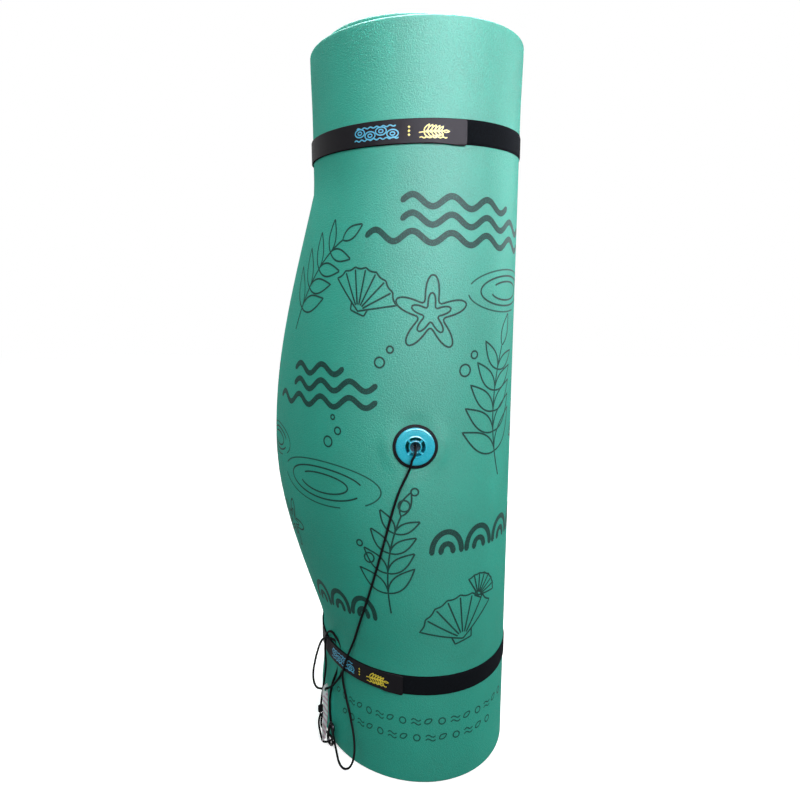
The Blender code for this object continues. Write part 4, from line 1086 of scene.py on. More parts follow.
class SwimMatFittings(bpy.types.PropertyGroup):
    disc_colour: colour_setting("Grommet Colour", "Moulded plastic colour", "#28cce6")
    cord_colour: colour_setting("Cord Colour", "Sheath colour", "#050608")
    alloy_colour: colour_setting("Hook Colour", "Anodised alloy colour", "#08090b")
    card_colour: colour_setting("Card Colour", "The tag's bare card", "#fbf8fa")
    block_colour: colour_setting("Card Print", "The tag's printed block", "#e09dba")
    lathe_steps: IntProperty(name="Round Steps", description="Steps round the turned pieces",
                             default=128, min=32, max=256)


class SwimMatStage(bpy.types.PropertyGroup):
    floor_colour: colour_setting("Floor Colour", "Colour of the floor", "#f2f2f2")
    bounce_colour: colour_setting("Bounce Colour", "How much light the floor throws back",
                                  "#303030")
    key_watts: number_setting("Key Lamp", "Power of the key lamp", 44.0, 0.0, 2000.0, 'POWER')
    gloss_watts: number_setting("Gloss Sheet", "Power of the sheet in the sheen",
                                1400.0, 0.0, 3000.0, 'POWER')
    fill_strength: number_setting("Sky Strength", "Strength of the even light",
                                  0.42, 0.0, 3.0, 'NONE')


# ---- pieces ----

# The sheet's rows from foot to top, closer near the straps, the cord and the grommet
SHEET_ROWS = [0.012, 0.030, 0.055, 0.080, 0.110, 0.140, 0.170, 0.200,
              *np.arange(0.212, 0.3451, 0.0125), *np.arange(0.375, 0.80, 0.030),
              *np.arange(0.812, 1.0, 0.010), *np.arange(1.02, 1.56, 0.030),
              1.575, 1.60, 1.625, 1.66, 1.70, 1.74, 1.78, 1.80, 1.818]
PLY_ROUND = 0.0010

# Profiles of (radius, height) in the grommet's frame: the holes, then the fitting's pieces
SLEEVE = 0.0276
HOLE = ((0.0, 0.02), (SLEEVE, 0.02), (SLEEVE, -0.05), (0.0, -0.05))
NUT_HOLE = ((0.0, 0.02), (SLEEVE, 0.02), (SLEEVE, -0.0355), (0.0545, -0.0355),
            (0.0545, -0.0436), (0.0, -0.0436))
HUB = ((0.0129, 0.0051), (0.0131, 0.0057), (0.0137, 0.0060), (0.0144, 0.0060),
       (0.0149, 0.0057), (0.0151, 0.0049), (0.0151, -0.0105), (0.0040, -0.0105),
       (0.0040, -0.0080), (0.0129, -0.0080))
HUB_RADIUS, DISC_BASE, DISC_TOP = 0.0151, 0.0005, 0.0048
DISC_LIP = ((0.0234, 0.0040), (0.0236, 0.0050), (0.0242, 0.0056), (0.0250, 0.0056),
            (0.0258, 0.0051), (0.0268, 0.0048))
DISC_RIM = ((0.0434, 0.0031), (0.0443, 0.0026), (0.0450, 0.0019), (0.0454, 0.0010),
            (0.0455, 0.0), (0.0270, 0.0), (0.0270, -0.0440), (0.0234, -0.0440))
SPOKE = (0.0102, 0.0046, 0.0050)
GASKET = ((0.0530, -0.0016), (0.0530, -0.0005), (0.0528, 0.0), (0.0523, 0.0002),
          (SLEEVE, 0.0002), (SLEEVE, -0.0023), (0.0523, -0.0023))

# The straps' sections: one edge, how far in the flat top starts, and its height
BAND_TOP = 0.0021
BAND_EDGE = ((0.0, 0.0), (0.0, 0.0009), (0.0030, 0.0010), (0.0036, 0.0018))
TAB_EDGE = ((0.0004, 0.0), (0.0, 0.0005), (0.0, 0.0012), (0.0006, 0.0018))
TAB_BASE = 0.0026
TAB_THICKNESS = 0.0018
BAND_GAP = 0.010
STRAP_STEP = 0.004
# The tab's two puckers in degrees from its hinge, and how its free end hangs and lifts,
# as (how much, over what length)
PUCKERS = (-13.0, 14.0)
PUCKER = (0.0018, 0.011)
HANG = (0.0045, 0.080)
LIFT = (0.0012, 0.018)
PRINT_STEP = 0.0022
PRINT_OFF = 0.00015
# The box seam's rows of stitches
SEAM_START, SEAM_PITCH, SEAM_HALF, SEAM_OFF = 0.0047, 0.0021, 0.020, 0.0002
# The foam lies flat under the gasket this far from the grommet's middle and eases out over
# the next stretch; only the outer face moves
PRESS_FLAT, PRESS_EASE, PRESS_DEPTH = 0.054, 0.036, 0.004


def press_under_grommet(item):
    """Press the foam flat under the gasket, easing out round it."""
    matrix = np.array(grommet_matrix().inverted())
    mesh = item.data
    places = np.empty(len(mesh.vertices) * 3)
    mesh.vertices.foreach_get("co", places)
    places = places.reshape(-1, 3)
    offs = np.empty(len(mesh.vertices))
    mesh.attributes["off"].data.foreach_get("value", offs)
    local = places @ matrix[:3, :3].T + matrix[:3, 3]
    reach = np.hypot(local[:, 0], local[:, 1])
    near = ((reach < PRESS_FLAT + PRESS_EASE) & (offs > -PRESS_DEPTH)
            & (local[:, 2] > -PLY_THICKNESS) & (local[:, 2] < PRESS_DEPTH))
    share = 1 - smooth((reach[near] - PRESS_FLAT) / PRESS_EASE)
    local[near, 2] = local[near, 2] * (1 - share) + SEAT * share
    back = np.linalg.inv(matrix)
    places[near] = local[near] @ back[:3, :3].T + back[:3, 3]
    mesh.vertices.foreach_set("co", places.ravel())


def sheet_sweeps():
    """The columns of the sheet, closer near the grommet and the tucked cord."""
    low, high = 0.0, TAU * 6
    for _ in range(60):
        middle = (low + high) / 2
        used = ((ROLL_RADIUS - MAT_THICKNESS / 2) * middle
                - TURN_PITCH * middle * middle / (2 * TAU)
                - 1.5 * ROLL_OVAL * (math.sin(2 * (FREE_END + middle - OVAL_TURN))
                                     - math.sin(2 * (FREE_END - OVAL_TURN))))
        low, high = (middle, high) if used < MAT_LENGTH else (low, middle)
    total = math.degrees(low)
    sweeps, here = [], 0.0
    while here < total:
        sweeps.append(here)
        # Fine over the grommet and the tucked cord, wide in the hidden turns
        fine = 84 <= here < 124 or 44 <= here < 66
        here += 1.25 if fine else 3.0 if here < 400 else 4.5
    if total - sweeps[-1] < 1.0:
        sweeps.pop()
    return np.radians(sweeps + [total])


def flat_ply(name, depth, thickness, outer_round, inner_round, margin=0.0):
    """A flat layer of the sheet with rounded edges, carrying its winding."""
    low, high = margin, MAT_WIDTH - margin
    ease = [math.pi / 2 * i / 5 for i in range(6)]

    def corner(radius, side, face):
        """Points from the face to the rim, as (height, depth) pairs."""
        at = high - radius if side > 0 else low + radius
        mid = depth + radius if face > 0 else depth + thickness - radius
        return [(at + side * radius * math.sin(a), mid - face * radius * math.cos(a))
                for a in ease]

    outline = [(low + outer_round, depth)] + [(h, depth) for h in SHEET_ROWS]
    outline += corner(outer_round, 1, 1) + corner(inner_round, 1, -1)[::-1]
    inner_start = len(outline)
    outline += [(h, depth + thickness) for h in reversed(SHEET_ROWS)]
    outline += corner(inner_round, -1, -1) + corner(outer_round, -1, 1)[:0:-1]
    # Columns as (sweep, how far the outer face has sunk towards the rounded end)
    sweeps = sheet_sweeps()
    last = sweeps[-1]
    edge = [(outer_round * (1 - math.cos(a)), outer_round * (1 - math.sin(a))) for a in ease]
    gap, inner_reach = margin / ROLL_RADIUS, ROLL_RADIUS - TURN_PITCH * last / TAU
    clear = (outer_round + margin) / ROLL_RADIUS
    columns = [(gap + u / ROLL_RADIUS, inset) for u, inset in edge]
    columns += [(s, 0.0) for s in sweeps if clear * 1.4 < s < last - clear * 2.2]
    columns += [(last - gap - u / inner_reach, inset) for u, inset in reversed(edge)]
    count, rows = len(outline), len(SHEET_ROWS)
    sweep, inset = np.repeat(np.array(columns), count, axis=0).T
    height, off = np.tile(np.array(outline).T, len(columns))
    off = np.where(off < depth + thickness / 2, np.maximum(off, depth + inset), off)
    faces = grid_faces(len(columns), count)
    for first, flip in ((0, False), ((len(columns) - 1) * count, True)):
        outer = [first + 1 + i for i in range(rows)]
        inner = [first + inner_start + rows - 1 - i for i in range(rows)]
        caps = [(outer[i], outer[i + 1], inner[i + 1], inner[i]) for i in range(rows - 1)]
        caps.append(tuple(range(outer[-1], inner[-1] + 1)))
        caps.append((*range(inner[0], first + count), first, first + 1))
        faces += [tuple(reversed(face)) for face in caps] if flip else caps
    length = sweep * ROLL_RADIUS
    item = new_piece(name, np.stack([length, height, -off], axis=1), faces,
                     uvs=np.stack([length, height], axis=1))
    mark(item, sweep=sweep, height=height, off=-off)
    return close_up(item)


def groove_cutter(start, end):
    """A cutter along a tucked stretch of the cord, a little wider than it."""
    line, spots = spline_points(cord_knots(), 0.002)
    start, end = (int(round(spots[len(CORD_START) + k])) for k in (start, end))
    path = path_object("tucked_path", [line[start:end + 1]])
    path.data.bevel_depth = 0.0041
    path.data.bevel_resolution = 4
    path.data.use_fill_caps = True
    return apply_modifiers(path)


class MESH_OT_swim_mat_foam(bpy.types.Operator):
    """Make the two foam plies and the net between them"""
    bl_idname = "mesh.swim_mat_foam"
    bl_label = "Foam Sheet"

    def execute(self, context):
        settings = context.scene.swim_mat_foam
        foam = foam_material(settings)
        net_depth = PLY_THICKNESS + FIT_GAP
        inner_depth = net_depth + NET_THICKNESS + FIT_GAP
        for name, sizes, hole, material, node, slot in (
                ("rolled_outer_ply", (0.0, PLY_THICKNESS, settings.rim_radius, PLY_ROUND),
                 HOLE, foam, "foam_outer_ply", "foam"),
                ("rolled_net", (net_depth, NET_THICKNESS, 0.0002, 0.0002, 0.0008),
                 HOLE, net_material(), "reinforcing_net", "net"),
                ("rolled_inner_ply", (inner_depth, PLY_THICKNESS, PLY_ROUND, PLY_ROUND),
                 NUT_HOLE, foam, "foam_inner_ply", "foam")):
            piece = run_tree(flat_ply(name, *sizes), "wind_sheet", Material=material)
            cutters = [turned("grommet_hole", hole, 64, grommet_matrix())]
            if name == "rolled_outer_ply":
                press_under_grommet(piece)
                cutters += [groove_cutter(*stretch) for stretch in TUCKED]
            piece = cut(piece, cutters)
            dress(piece, "mat", slot, node)
        return {'FINISHED'}


class MESH_OT_swim_mat_prints(bpy.types.Operator):
    """Print the line motifs on the outer turn"""
    bl_idname = "mesh.swim_mat_prints"
    bl_label = "Foam Prints"

    def execute(self, context):
        settings = context.scene.swim_mat_foam
        colours = {"dark": settings.ink_colour, "pale": settings.pale_ink_colour,
                   "heavy": settings.ink_colour}
        table = np.linspace(0, TAU, 721)
        run = run_along(face_point(table, 0.9).T)
        for name, ink, width, across in FOAM_INKS:
            lines = [line for kind, motif, rows in FOAM_PRINTS if kind == ink
                     for row in rows for line in motif(*row)]
            points, faces = inked(lines, 0.005, width, across)
            item = new_piece(name, np.column_stack([points, np.zeros(len(points))]), faces)
            mark(item, sweep=np.interp(points[:, 0], run, table), height=points[:, 1],
                 off=np.full(len(points), 0.00025))
            material = ink_material("screen_ink_" + ink, colours[ink], settings.foam_deep)
            dress(run_tree(item, "wind_sheet", Material=material), "mat", "foam")
        return {'FINISHED'}


def strap_profile(half, edge, inset, top, lift=0.0):
    """A strap's section across its width: an edge, a flat top and the other edge."""
    side = [(x - half, y + lift) for x, y in edge]
    flat = [(x, top + lift) for x in np.linspace(inset - half, half - inset, 9)]
    return np.array(side + flat + [(-x, y) for x, y in reversed(side)])


def strap_strip(name, start, end, level, profile, material, shape=None):
    """A strap along the taut line: a closed section swept from start to end."""
    runs = np.linspace(start, end, int((end - start) / STRAP_STEP) + 1)
    count = len(profile)
    vertices, uvs = [], []
    for run in runs:
        side, lift = profile.T
        if shape:
            side, lift = shape(run, side, lift)
        vertices.append(STRAP_LINE.point(np.full(count, run), level + side, lift))
        uvs.append(np.stack([np.full(count, run), side], axis=1))
    faces = grid_faces(len(runs), count)
    total = len(runs) * count
    faces += [tuple(range(count)), tuple(reversed(range(total - count, total)))]
    return close_up(new_piece(name, np.vstack(vertices), faces, material, np.vstack(uvs)), False)


def seam_points(level):
    """A box seam at the tab's root: six rows of stitches, to and fro."""
    points = []
    for i in range(6):
        run = STRAP_LINE.place(TAB_ROOT) + SEAM_START + SEAM_PITCH * i
        way = -1 if i % 2 == 0 else 1
        points += [STRAP_LINE.point(run, level + way * SEAM_HALF * (1 - j / 8),
                                    TAB_BASE + TAB_THICKNESS + SEAM_OFF) for j in range(17)]
    return points


class MESH_OT_swim_mat_straps(bpy.types.Operator):
    """Make both hook-and-loop straps with their prints and seams"""
    bl_idname = "mesh.swim_mat_straps"
    bl_label = "Straps"

    def execute(self, context):
        settings = context.scene.swim_mat_straps
        pile = loop_material(settings.tape_colour)
        weave = woven_material("hook_tab_weave", settings.tab_colour, 0.0011, 0.5)
        inks = {"blue": plain_material("blue_strap_ink", settings.blue_colour, 0.5),
                "yellow": plain_material("yellow_strap_ink", settings.yellow_colour, 0.5)}
        thread = plain_material("bonded_nylon_thread", srgb("#2a2b2e"), 0.6, grain=2000.0)
        band = strap_profile(settings.band_width / 2, BAND_EDGE, 0.005, BAND_TOP, FIT_GAP)
        half = settings.tab_width / 2
        tab = strap_profile(half, TAB_EDGE, 0.003, TAB_THICKNESS)
        for name, data in STRAPS.items():
            level, body = data["height"], data["body"]
            first, last = STRAP_LINE.place(BAND_START), STRAP_LINE.place(data["end"])
            puckers = [STRAP_LINE.place(data["hinge"] + turn) for turn in PUCKERS]

            def ripple(run, across, puckers=puckers):
                """How far the lower edge stands off at the tab's two puckers."""
                low_edge = np.clip(-across / half, 0, 1) ** 3
                waves = sum(np.exp(-((run - p) / PUCKER[1]) ** 2) for p in puckers)
                return PUCKER[0] * waves * low_edge, low_edge

            def shape(run, across, lift, last=last, ripple=ripple):
                """The tab's ripples, with a free end that hangs and lifts a little."""
                left = last - run
                across = across * (1 - 0.10 * max(1 - left / 0.003, 0) ** 2)
                off, low_edge = ripple(run, across)
                return (across - HANG[0] * low_edge * smooth(1 - left / HANG[1]),
                        lift + TAB_BASE + off + LIFT[0] * smooth(1 - left / LIFT[1]))

            tape = strap_strip(name + "_loop_tape", first, first + STRAP_LINE.total - BAND_GAP,
                               level, band, pile)
            dress(tape, "mat", "loop_tape", name + "_strap_loop_band")
            piece = strap_strip(name + "_printed_tab", STRAP_LINE.place(TAB_ROOT), last, level,
                                tab, weave, shape)
            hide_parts(name + "_strap_hook_tab", name + "_strap_pull_end")
            bent = [piece]
            for ink, lines, width in strap_prints(name):
                points, faces = inked(lines, PRINT_STEP, width)
                off = TAB_BASE + TAB_THICKNESS + PRINT_OFF + ripple(*points.T)[0]
                places = STRAP_LINE.point(points[:, 0], level + points[:, 1], off)
                bent.append(new_piece("%s_%s_print" % (name, ink), places, faces, inks[ink]))
            for piece in bent:
                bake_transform(piece)
            seam = run_tree(path_object(name + "_seam", [seam_points(level)]), "stitches",
                            Material=thread)
            dress(seam, "mat", "thread", name + "_strap_seam_thread")
        return {'FINISHED'}


class MESH_OT_swim_mat_grommet(bpy.types.Operator):
    """Make the grommet disc with its hub, the gaskets and what is behind them"""
    bl_idname = "mesh.swim_mat_grommet"
    bl_label = "Grommet"

    def execute(self, context):
        settings = context.scene.swim_mat_fittings
        steps = settings.lathe_steps
        plastic = plain_material("moulded_nylon", settings.disc_colour, 0.28, grain=350.0,
                                 depth=0.00008)
        # The darker colour in the cup is painted shade.
        paint_cup_shade(plastic, srgb("#073f4e"))
        rubber = plain_material("black_rubber", srgb("#05080b"), 0.6, grain=700.0, depth=0.0002,
                                specular=0.04)
        steel = plain_material("stainless_steel", srgb("#c4c6c8"), 0.3, 1.0)
        place = grommet_matrix()
        # Faint rings left by the turned mould
        rings = [(0.0290 + 0.0136 * i / 36, DISC_TOP - 0.0013 * (i / 36) ** 1.6
                  - 0.00007 * math.sin(math.pi * i / 2) ** 2) for i in range(37)]
        profile = [(r, DISC_BASE + h) for r, h in (*DISC_LIP, *rings, *DISC_RIM)]
        disc = turned("grommet_disc", profile, steps)
        joined = [turned("hub", HUB, 64)]
        for i in range(4):
            joined.append(box_piece("spoke_%d" % i, SPOKE,
                                    ((HUB_RADIUS + DISC_LIP[1][0]) / 2, 0, 0.0026),
                                    math.pi / 4 + i * math.pi / 2))
        disc = cut(disc, joined, 'UNION')
        bevel = disc.modifiers.new("soft_edges", 'BEVEL')
        bevel.width = 0.00035
        bevel.segments = 2
        bevel.limit_method = 'ANGLE'
        bevel.angle_limit = math.radians(50)
        disc = apply_modifiers(disc)
        coat(disc, plastic)
        # Where the painted shade in the cup goes: inside the hub's bore, fading out towards its
        # mouth.
        mark(disc, cup=[(math.hypot(v.co.x, v.co.y) < 0.0131) * min(max(-v.co.z / 0.004 + 1, 0), 1)
                        for v in disc.data.vertices])
        disc.data.transform(place)
        dress(disc, "mat", "grommet", "grommet_body")
        gasket = turned("gasket_ring", GASKET, steps, place, rubber)
        dress(gasket, "mat", "gasket", "front_gasket")
        for node, material in (("back_gasket", rubber), ("back_nut", plastic),
                               ("stopper_washer", steel)):
            coat(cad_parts[node], material)
        return {'FINISHED'}


LAST_STEP = 0.00002
# Each knot's turns, reach, rise and tail, and the radius of its cord
END_KNOT = ((3.6, 0.0054, 0.0175, 0.0070), 0.0030)
STOPPER_KNOT = ((2.5, 0.0042, 0.0085, 0.0), 0.0024)
STOPPER_DEPTH, MOUTH = -0.0193, 0.005


def sheathed(name, points, radius, material, sides=20):
    """A cord along the points, made by the sheath tree and closed by a last step of no width."""
    points = np.array(points)
    first, last = (points[i] + (points[i] - points[j]) / np.linalg.norm(points[i] - points[j])
                   * LAST_STEP for i, j in ((0, 1), (-1, -2)))
    radii = [0.0] + [1.0] * len(points) + [0.0]
    path = path_object(name, [np.vstack([first, points, last])], radii)
    return run_tree(path, "cord_sheath", 60.0, Material=material, Radius=radius, Sides=sides)


def knot_line(turns, spread, rise, tail):
    """Wraps round the cord, drawn down tight, with a short tail."""
    line = []
    count = int(turns * 28)
    for i in range(count + 1):
        share = i / count
        angle = TAU * turns * share
        reach = spread * (1 + 0.06 * math.sin(3 * angle))
        line.append((reach * math.cos(angle), reach * math.sin(angle),
                     rise * (share - 0.5) + rise * 0.09 * math.cos(angle)))
    end = np.array(line[-1])
    out = np.array((math.cos(angle + 0.9), math.sin(angle + 0.9), -0.5))
    return line + [end + out * tail * i / 6 for i in range(1, 7 if tail else 1)]


class MESH_OT_swim_mat_cord(bpy.types.Operator):
    """Make the shock cord, its end loop and its knots"""
    bl_idname = "mesh.swim_mat_cord"
    bl_label = "Shock Cord"

    def execute(self, context):
        sheath = braid_material(context.scene.swim_mat_fittings.cord_colour)
        line, _ = spline_points(cord_knots(), 0.004)
        loop_line, _ = spline_points(loop_knots(), 0.003)
        cord = sheathed("shock_cord", line, CORD_DIAMETER / 2, sheath)
        loop = sheathed("end_loop_cord", loop_line, CORD_DIAMETER / 2, sheath)
        knot, stopper = (sheathed(name, knot_line(*turns), radius, sheath)
                         for name, (turns, radius) in (("tied_end_knot", END_KNOT),
                                                       ("tied_stopper_knot", STOPPER_KNOT)))
        knot.data.transform(Matrix.Translation(
            face_point(KNOT_PLACE[0] - FREE_END, KNOT_PLACE[1], KNOT_PLACE[2])))
        stopper.data.transform(grommet_matrix() @ Matrix.Translation((0, 0, STOPPER_DEPTH)))
        for piece, node in ((cord, "bungee_cord"), (loop, "end_loop"), (knot, "end_knot"),
                            (stopper, "stopper_knot")):
            dress(piece, "mat", "cord", node)
        mouth = grommet_matrix() @ Vector((0, 0, MOUTH))
        return {'FINISHED'}


# The snap hook: its rod's radius, its boxes' sizes and its turned pieces' profiles
HOOK_ROD = 0.0038
HINGE_BLADE = (0.0048, 0.0021, 0.0055)
HINGE_TIP = ((0.0, -0.0011), (0.0025, -0.0011), (0.0025, 0.0011), (0.0, 0.0011))
GATE = ((0.0, 0.0186), (0.0025, 0.0186), (0.0030, 0.0191), (0.0030, 0.0480),
        (0.0027, 0.0488), (0.0018, 0.0492), (0.0, 0.0492))
GATE_SLOT = (0.010, 0.0028, 0.0100)
GATE_BORE = ((0.0, 0.015), (0.0017, 0.015), (0.0017, 0.0365), (0.0, 0.0365))


class MESH_OT_swim_mat_hook(bpy.types.Operator):
    """Make the snap hook's body and its gate"""
    bl_idname = "mesh.swim_mat_hook"
    bl_label = "Snap Hook"

    def execute(self, context):
        settings = context.scene.swim_mat_fittings
        alloy = plain_material("black_anodised_alloy", settings.alloy_colour, 0.32, 0.85,
                               grain=600.0, depth=0.00005)
        steel = plain_material("stainless_wire", srgb("#c9cbcd"), 0.28, 1.0)
        # The rod bends round the foot, up the left and over the top; the gate closes the right
        side = 0.016
        rod = np.vstack([[(side, 0.0170)], ring_line(0, side, 2 * side, 2 * side, 0, -190, 37),
                         ring_line(0.004, 0.052, 0.024, 0.024, 170, 0, 31), [(side, 0.0504)]])
        body = sheathed("snap_hook_body", np.insert(rod, 1, 0.0, axis=1), HOOK_ROD, alloy,
                        32)
        hinge = Matrix.Translation((side, 0, 0.0205)) @ Matrix.Rotation(math.pi / 2, 4, 'X')
        body = cut(body, [box_piece("hinge_blade", HINGE_BLADE, (side, 0, 0.0180)),
                          turned("hinge_tip", HINGE_TIP, 32, hinge)], 'UNION')
        middle = Matrix.Translation((side, 0, 0))
        gate = cut(turned("snap_hook_gate", GATE, 32, middle),
                   [box_piece("gate_slot", GATE_SLOT, (side, 0, 0.0183)),
                    turned("gate_bore", GATE_BORE, 24, middle)])
        for piece, rides, node in ((body, "mat", "carabiner_body"),
                                   (gate, "gate", "carabiner_gate")):
            coat(piece, alloy)
            piece.data.transform(hook_matrix())
            dress(piece, rides, "anodised", node)
        for node in ("gate_pin", "gate_spring"):
            coat(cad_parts[node], steel)
        return {'FINISHED'}


# The tag: half its width, half its tip, its reach below and above the hole, its shoulders'
# height and its rounded corners
TAG_SIZES = (0.014, 0.0065, 0.143, 0.013, 0.005, 0.003)
TAG_HOLE_WIDE = 0.0116
CARD_THICKNESS = 0.00045


class MESH_OT_swim_mat_tag(bpy.types.Operator):
    """Make the curled tag on the cord"""
    bl_idname = "mesh.swim_mat_tag"
    bl_label = "Tag"

    def execute(self, context):
        half, tip, below, above, shoulder, corner = TAG_SIZES
        outline = [point for side, start in ((-1, 180), (1, 270))
                   for point in ring_line(side * (half - corner), corner - below, 2 * corner,
                                          2 * corner, start, start + 90, 7)]
        outline += [(half, shoulder), (tip, above), (-tip, above), (-half, shoulder)]
        hole = ring_line(0, 0, TAG_HOLE_WIDE, TAG_HOLE_WIDE, count=33)[:-1]
        item = apply_modifiers(path_object(
            "hanging_tag", [[(x, y, 0.0) for x, y in line] for line in (outline, hole)],
            flat=True))
        shape = bmesh.new()
        shape.from_mesh(item.data)
        bmesh.ops.remove_doubles(shape, verts=shape.verts, dist=MERGE)
        for way, spots in (((0, 1, 0), np.arange(-0.138, 0.010, 0.006)),
                           ((1, 0, 0), np.arange(-0.0105, 0.012, 0.0035))):
            for spot in spots:
                bmesh.ops.bisect_plane(
                    shape, geom=[*shape.verts, *shape.edges, *shape.faces],
                    plane_co=Vector(way) * spot, plane_no=way)
        layer = shape.loops.layers.uv.verify()
        for face in shape.faces:
            for loop in face.loops:
                loop[layer].uv = loop.vert.co.xy
        for vert in shape.verts:
            x, y = vert.co.x, vert.co.y
            down = max(-y, 0) / below
            # The card has curled, most at its lower left corner
            curl = 8.0 + 20.0 * smooth((down - 0.70) * 4) if x < 0 else -4.0
            vert.co.z = (0.0030 * math.sin(math.pi * down) ** 2
                         + curl * x * x * smooth(down * 2.5))
        bmesh.ops.recalc_face_normals(shape, faces=shape.faces)
        shape.to_mesh(item.data)
        shape.free()
        solid = item.modifiers.new("thickness", 'SOLIDIFY')
        solid.thickness = CARD_THICKNESS
        solid.offset = 0.0
        item = apply_modifiers(item)
        coat(item, card_material(context.scene.swim_mat_fittings))
        item.data.transform(tag_matrix())
        dress(item, "tag", "card", "tag_card")
        return {'FINISHED'}


# ---- the stage ----

WHITE = (1.0, 1.0, 1.0, 1.0)
FLOOR_HALF, FLOOR_LEVEL, FLOOR_GLOW = 9, -0.0003, 0.62
GLOSS_DEPTH, GLOSS_COLOUR = 1.5, (0.94, 0.90, 1.0)
CAMERA_LENS, CAMERA_SENSOR = 29.305, 36.0
CAMERA_PLACE = (0.0795, -1.75024, 1.29327)
CAMERA_RIGHT = (0.99968117, 0.02522304, 0.00116747)
CAMERA_UP = (-0.00584695, 0.18626058, 0.98248298)
CAMERA_BACK = (0.02456375, -0.98217656, 0.18634867)
# Each lamp's setting, its share of that power, its size, its place and its aim. The gloss
# lamps are wide pale sheets that show in the foam's sheen and light nothing else.
LAMPS = (
    ("key_lamp", "key_watts", 1.0, 1.2, (1.30, -2.35, 2.55), (0.1, 0.0, 1.5)),
    ("side_lamp", "key_watts", 0.50, 1.5, (2.6, 0.7, 2.3), (0.1, 0.0, 1.3)),
    ("left_lamp", "key_watts", 0.36, 1.4, (-1.7, -1.4, 3.1), (0.0, 0.0, 1.6)),
    ("top_lamp", "key_watts", 1.0, 1.6, (-0.3, 0.4, 4.0), (0.0, 0.0, 1.7)),
    ("gloss_box", "gloss_watts", 1.0, 4.2, (0.90, -2.35, 2.60), (0.1, 0.0, 1.8)),
    ("gloss_right", "gloss_watts", 0.06, 1.6, (2.50, 1.00, 1.90), (0.15, 0.0, 1.3)),
    ("gloss_over", "gloss_watts", 0.4, 2.0, (0.0, 0.5, 3.6), (0.0, 0.0, 1.8)),
)


def seen_white(tree):
    """One for rays that meet the white surroundings, nought for those that light things."""
    path = add_node(tree, 'ShaderNodeLightPath')
    seen = path.outputs["Is Camera Ray"]
    for name in ("Is Glossy Ray", "Is Transmission Ray"):
        seen = add_node(tree, 'ShaderNodeMath', {0: seen, 1: path.outputs[name]},
                        operation='MAXIMUM').outputs[0]
    return seen


class SCENE_OT_swim_mat_stage(bpy.types.Operator):
    """Set up the floor, the soft light and the camera"""
    bl_idname = "scene.swim_mat_stage"
    bl_label = "Stage"

    def execute(self, context):
        scene = context.scene
        settings = scene.swim_mat_stage
        scene.view_settings.view_transform = 'Standard'
        camera = link("camera", bpy.data.cameras.new("camera"))
        camera.data.lens = CAMERA_LENS
        camera.data.sensor_width = CAMERA_SENSOR
        camera.matrix_world = axes_matrix(CAMERA_RIGHT, CAMERA_UP, CAMERA_BACK, CAMERA_PLACE)
        scene.camera = camera
        corners = [(FLOOR_HALF * x, FLOOR_HALF * y, FLOOR_LEVEL)
                   for x, y in ((-1, -1), (1, -1), (1, 1), (-1, 1))]
        material, tree = new_material("pale_studio_floor")
        matt = add_node(tree, 'ShaderNodeBsdfDiffuse', {"Color": settings.floor_colour})
        glow = add_node(tree, 'ShaderNodeEmission', {"Color": WHITE, "Strength": FLOOR_GLOW})
        pale = add_node(tree, 'ShaderNodeAddShader', {0: matt, 1: glow})
        dull = add_node(tree, 'ShaderNodeBsdfDiffuse', {"Color": settings.bounce_colour})
        white = add_node(tree, 'ShaderNodeEmission', {"Color": WHITE, "Strength": 1.0})
        unseen = add_node(tree, 'ShaderNodeMixShader', {0: seen_white(tree), 1: dull, 2: white})
        path = add_node(tree, 'ShaderNodeLightPath')
        last = add_node(tree, 'ShaderNodeMixShader', {0: path.outputs["Is Camera Ray"],
                                                      1: unseen, 2: pale})
        add_node(tree, 'ShaderNodeOutputMaterial', {"Surface": last})
        new_piece("floor", corners, [(0, 1, 2, 3)], material)
        scene.world = bpy.data.worlds.new("studio")
        scene.world.use_nodes = True
        tree = scene.world.node_tree
        tree.nodes.clear()
        light, white = (add_node(tree, 'ShaderNodeBackground', {"Color": WHITE, "Strength": power})
                        for power in (settings.fill_strength, 1.0))
        last = add_node(tree, 'ShaderNodeMixShader', {0: seen_white(tree), 1: light, 2: white})
        add_node(tree, 'ShaderNodeOutputWorld', {"Surface": last})
        for name, power, share, size, place, aim in LAMPS:
            lamp = bpy.data.lights.new(name, 'AREA')
            lamp.energy = getattr(settings, power) * share
            lamp.size = size
            item = link(name, lamp)
            if power == "gloss_watts":
                lamp.shape = 'RECTANGLE'
                lamp.size_y = GLOSS_DEPTH
                lamp.color = GLOSS_COLOUR
                item.visible_diffuse = False
            item.location = place
            item.rotation_euler = (Vector(aim) - Vector(place)).to_track_quat('-Z', 'Y').to_euler()
        return {'FINISHED'}


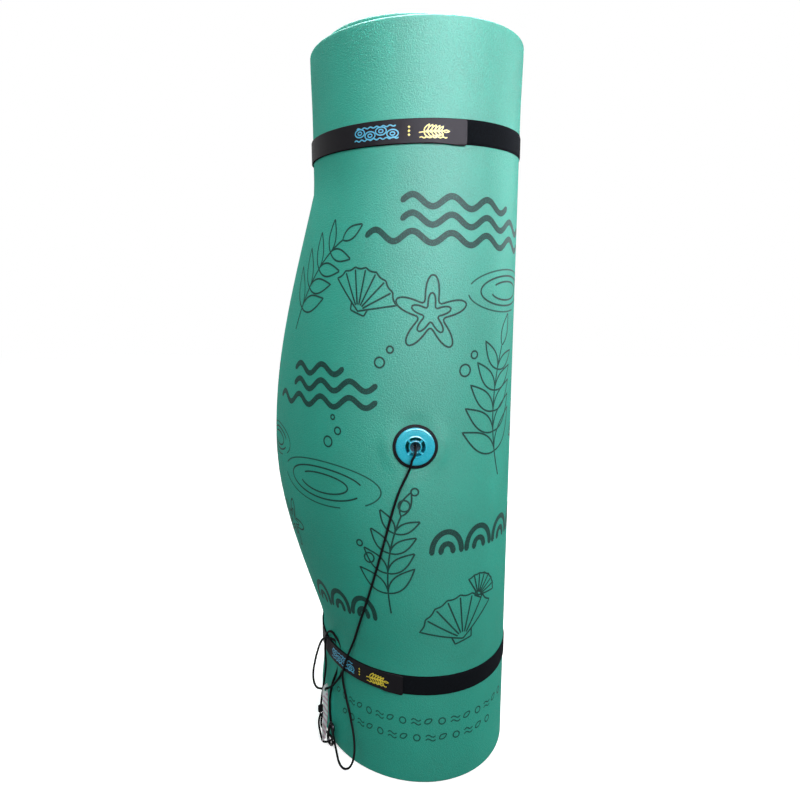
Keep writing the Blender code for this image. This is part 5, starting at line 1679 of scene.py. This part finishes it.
class VIEW3D_PT_swim_mat(bpy.types.Panel):
    """The mat's settings and its pieces"""
    bl_label = "Swim Mat"
    bl_idname = "VIEW3D_PT_swim_mat"
    bl_space_type = 'VIEW_3D'
    bl_region_type = 'UI'
    bl_category = "Swim Mat"

    def draw(self, context):
        scene = context.scene
        for group, operators in PANEL_ROWS:
            settings = getattr(scene, group)
            box = self.layout.box()
            for name in settings.__annotations__:
                box.prop(settings, name)
            for operator in operators:
                box.operator(operator)


PANEL_ROWS = (
    ("swim_mat_foam", ("mesh.swim_mat_foam", "mesh.swim_mat_prints")),
    ("swim_mat_straps", ("mesh.swim_mat_straps",)),
    ("swim_mat_fittings", ("mesh.swim_mat_grommet", "mesh.swim_mat_cord", "mesh.swim_mat_hook",
                           "mesh.swim_mat_tag")),
    ("swim_mat_stage", ("scene.swim_mat_stage",)),
)
GROUPS = {"swim_mat_foam": SwimMatFoam, "swim_mat_straps": SwimMatStraps,
          "swim_mat_fittings": SwimMatFittings, "swim_mat_stage": SwimMatStage}
CLASSES = (*GROUPS.values(), MESH_OT_swim_mat_foam, MESH_OT_swim_mat_prints,
           MESH_OT_swim_mat_straps, MESH_OT_swim_mat_grommet, MESH_OT_swim_mat_cord,
           MESH_OT_swim_mat_hook, MESH_OT_swim_mat_tag, SCENE_OT_swim_mat_stage,
           VIEW3D_PT_swim_mat)


def register():
    for cls in CLASSES:
        bpy.utils.register_class(cls)
    for name, cls in GROUPS.items():
        setattr(bpy.types.Scene, name, PointerProperty(type=cls))


def unregister():
    for name in GROUPS:
        delattr(bpy.types.Scene, name)
    for cls in reversed(CLASSES):
        bpy.utils.unregister_class(cls)


def main():
    register()
    bpy.ops.scene.swim_mat_stage()
    bpy.ops.mesh.swim_mat_foam()
    bpy.ops.mesh.swim_mat_prints()
    bpy.ops.mesh.swim_mat_straps()
    bpy.ops.mesh.swim_mat_grommet()
    bpy.ops.mesh.swim_mat_cord()
    bpy.ops.mesh.swim_mat_hook()
    bpy.ops.mesh.swim_mat_tag()


if __name__ == "__main__":
    main()
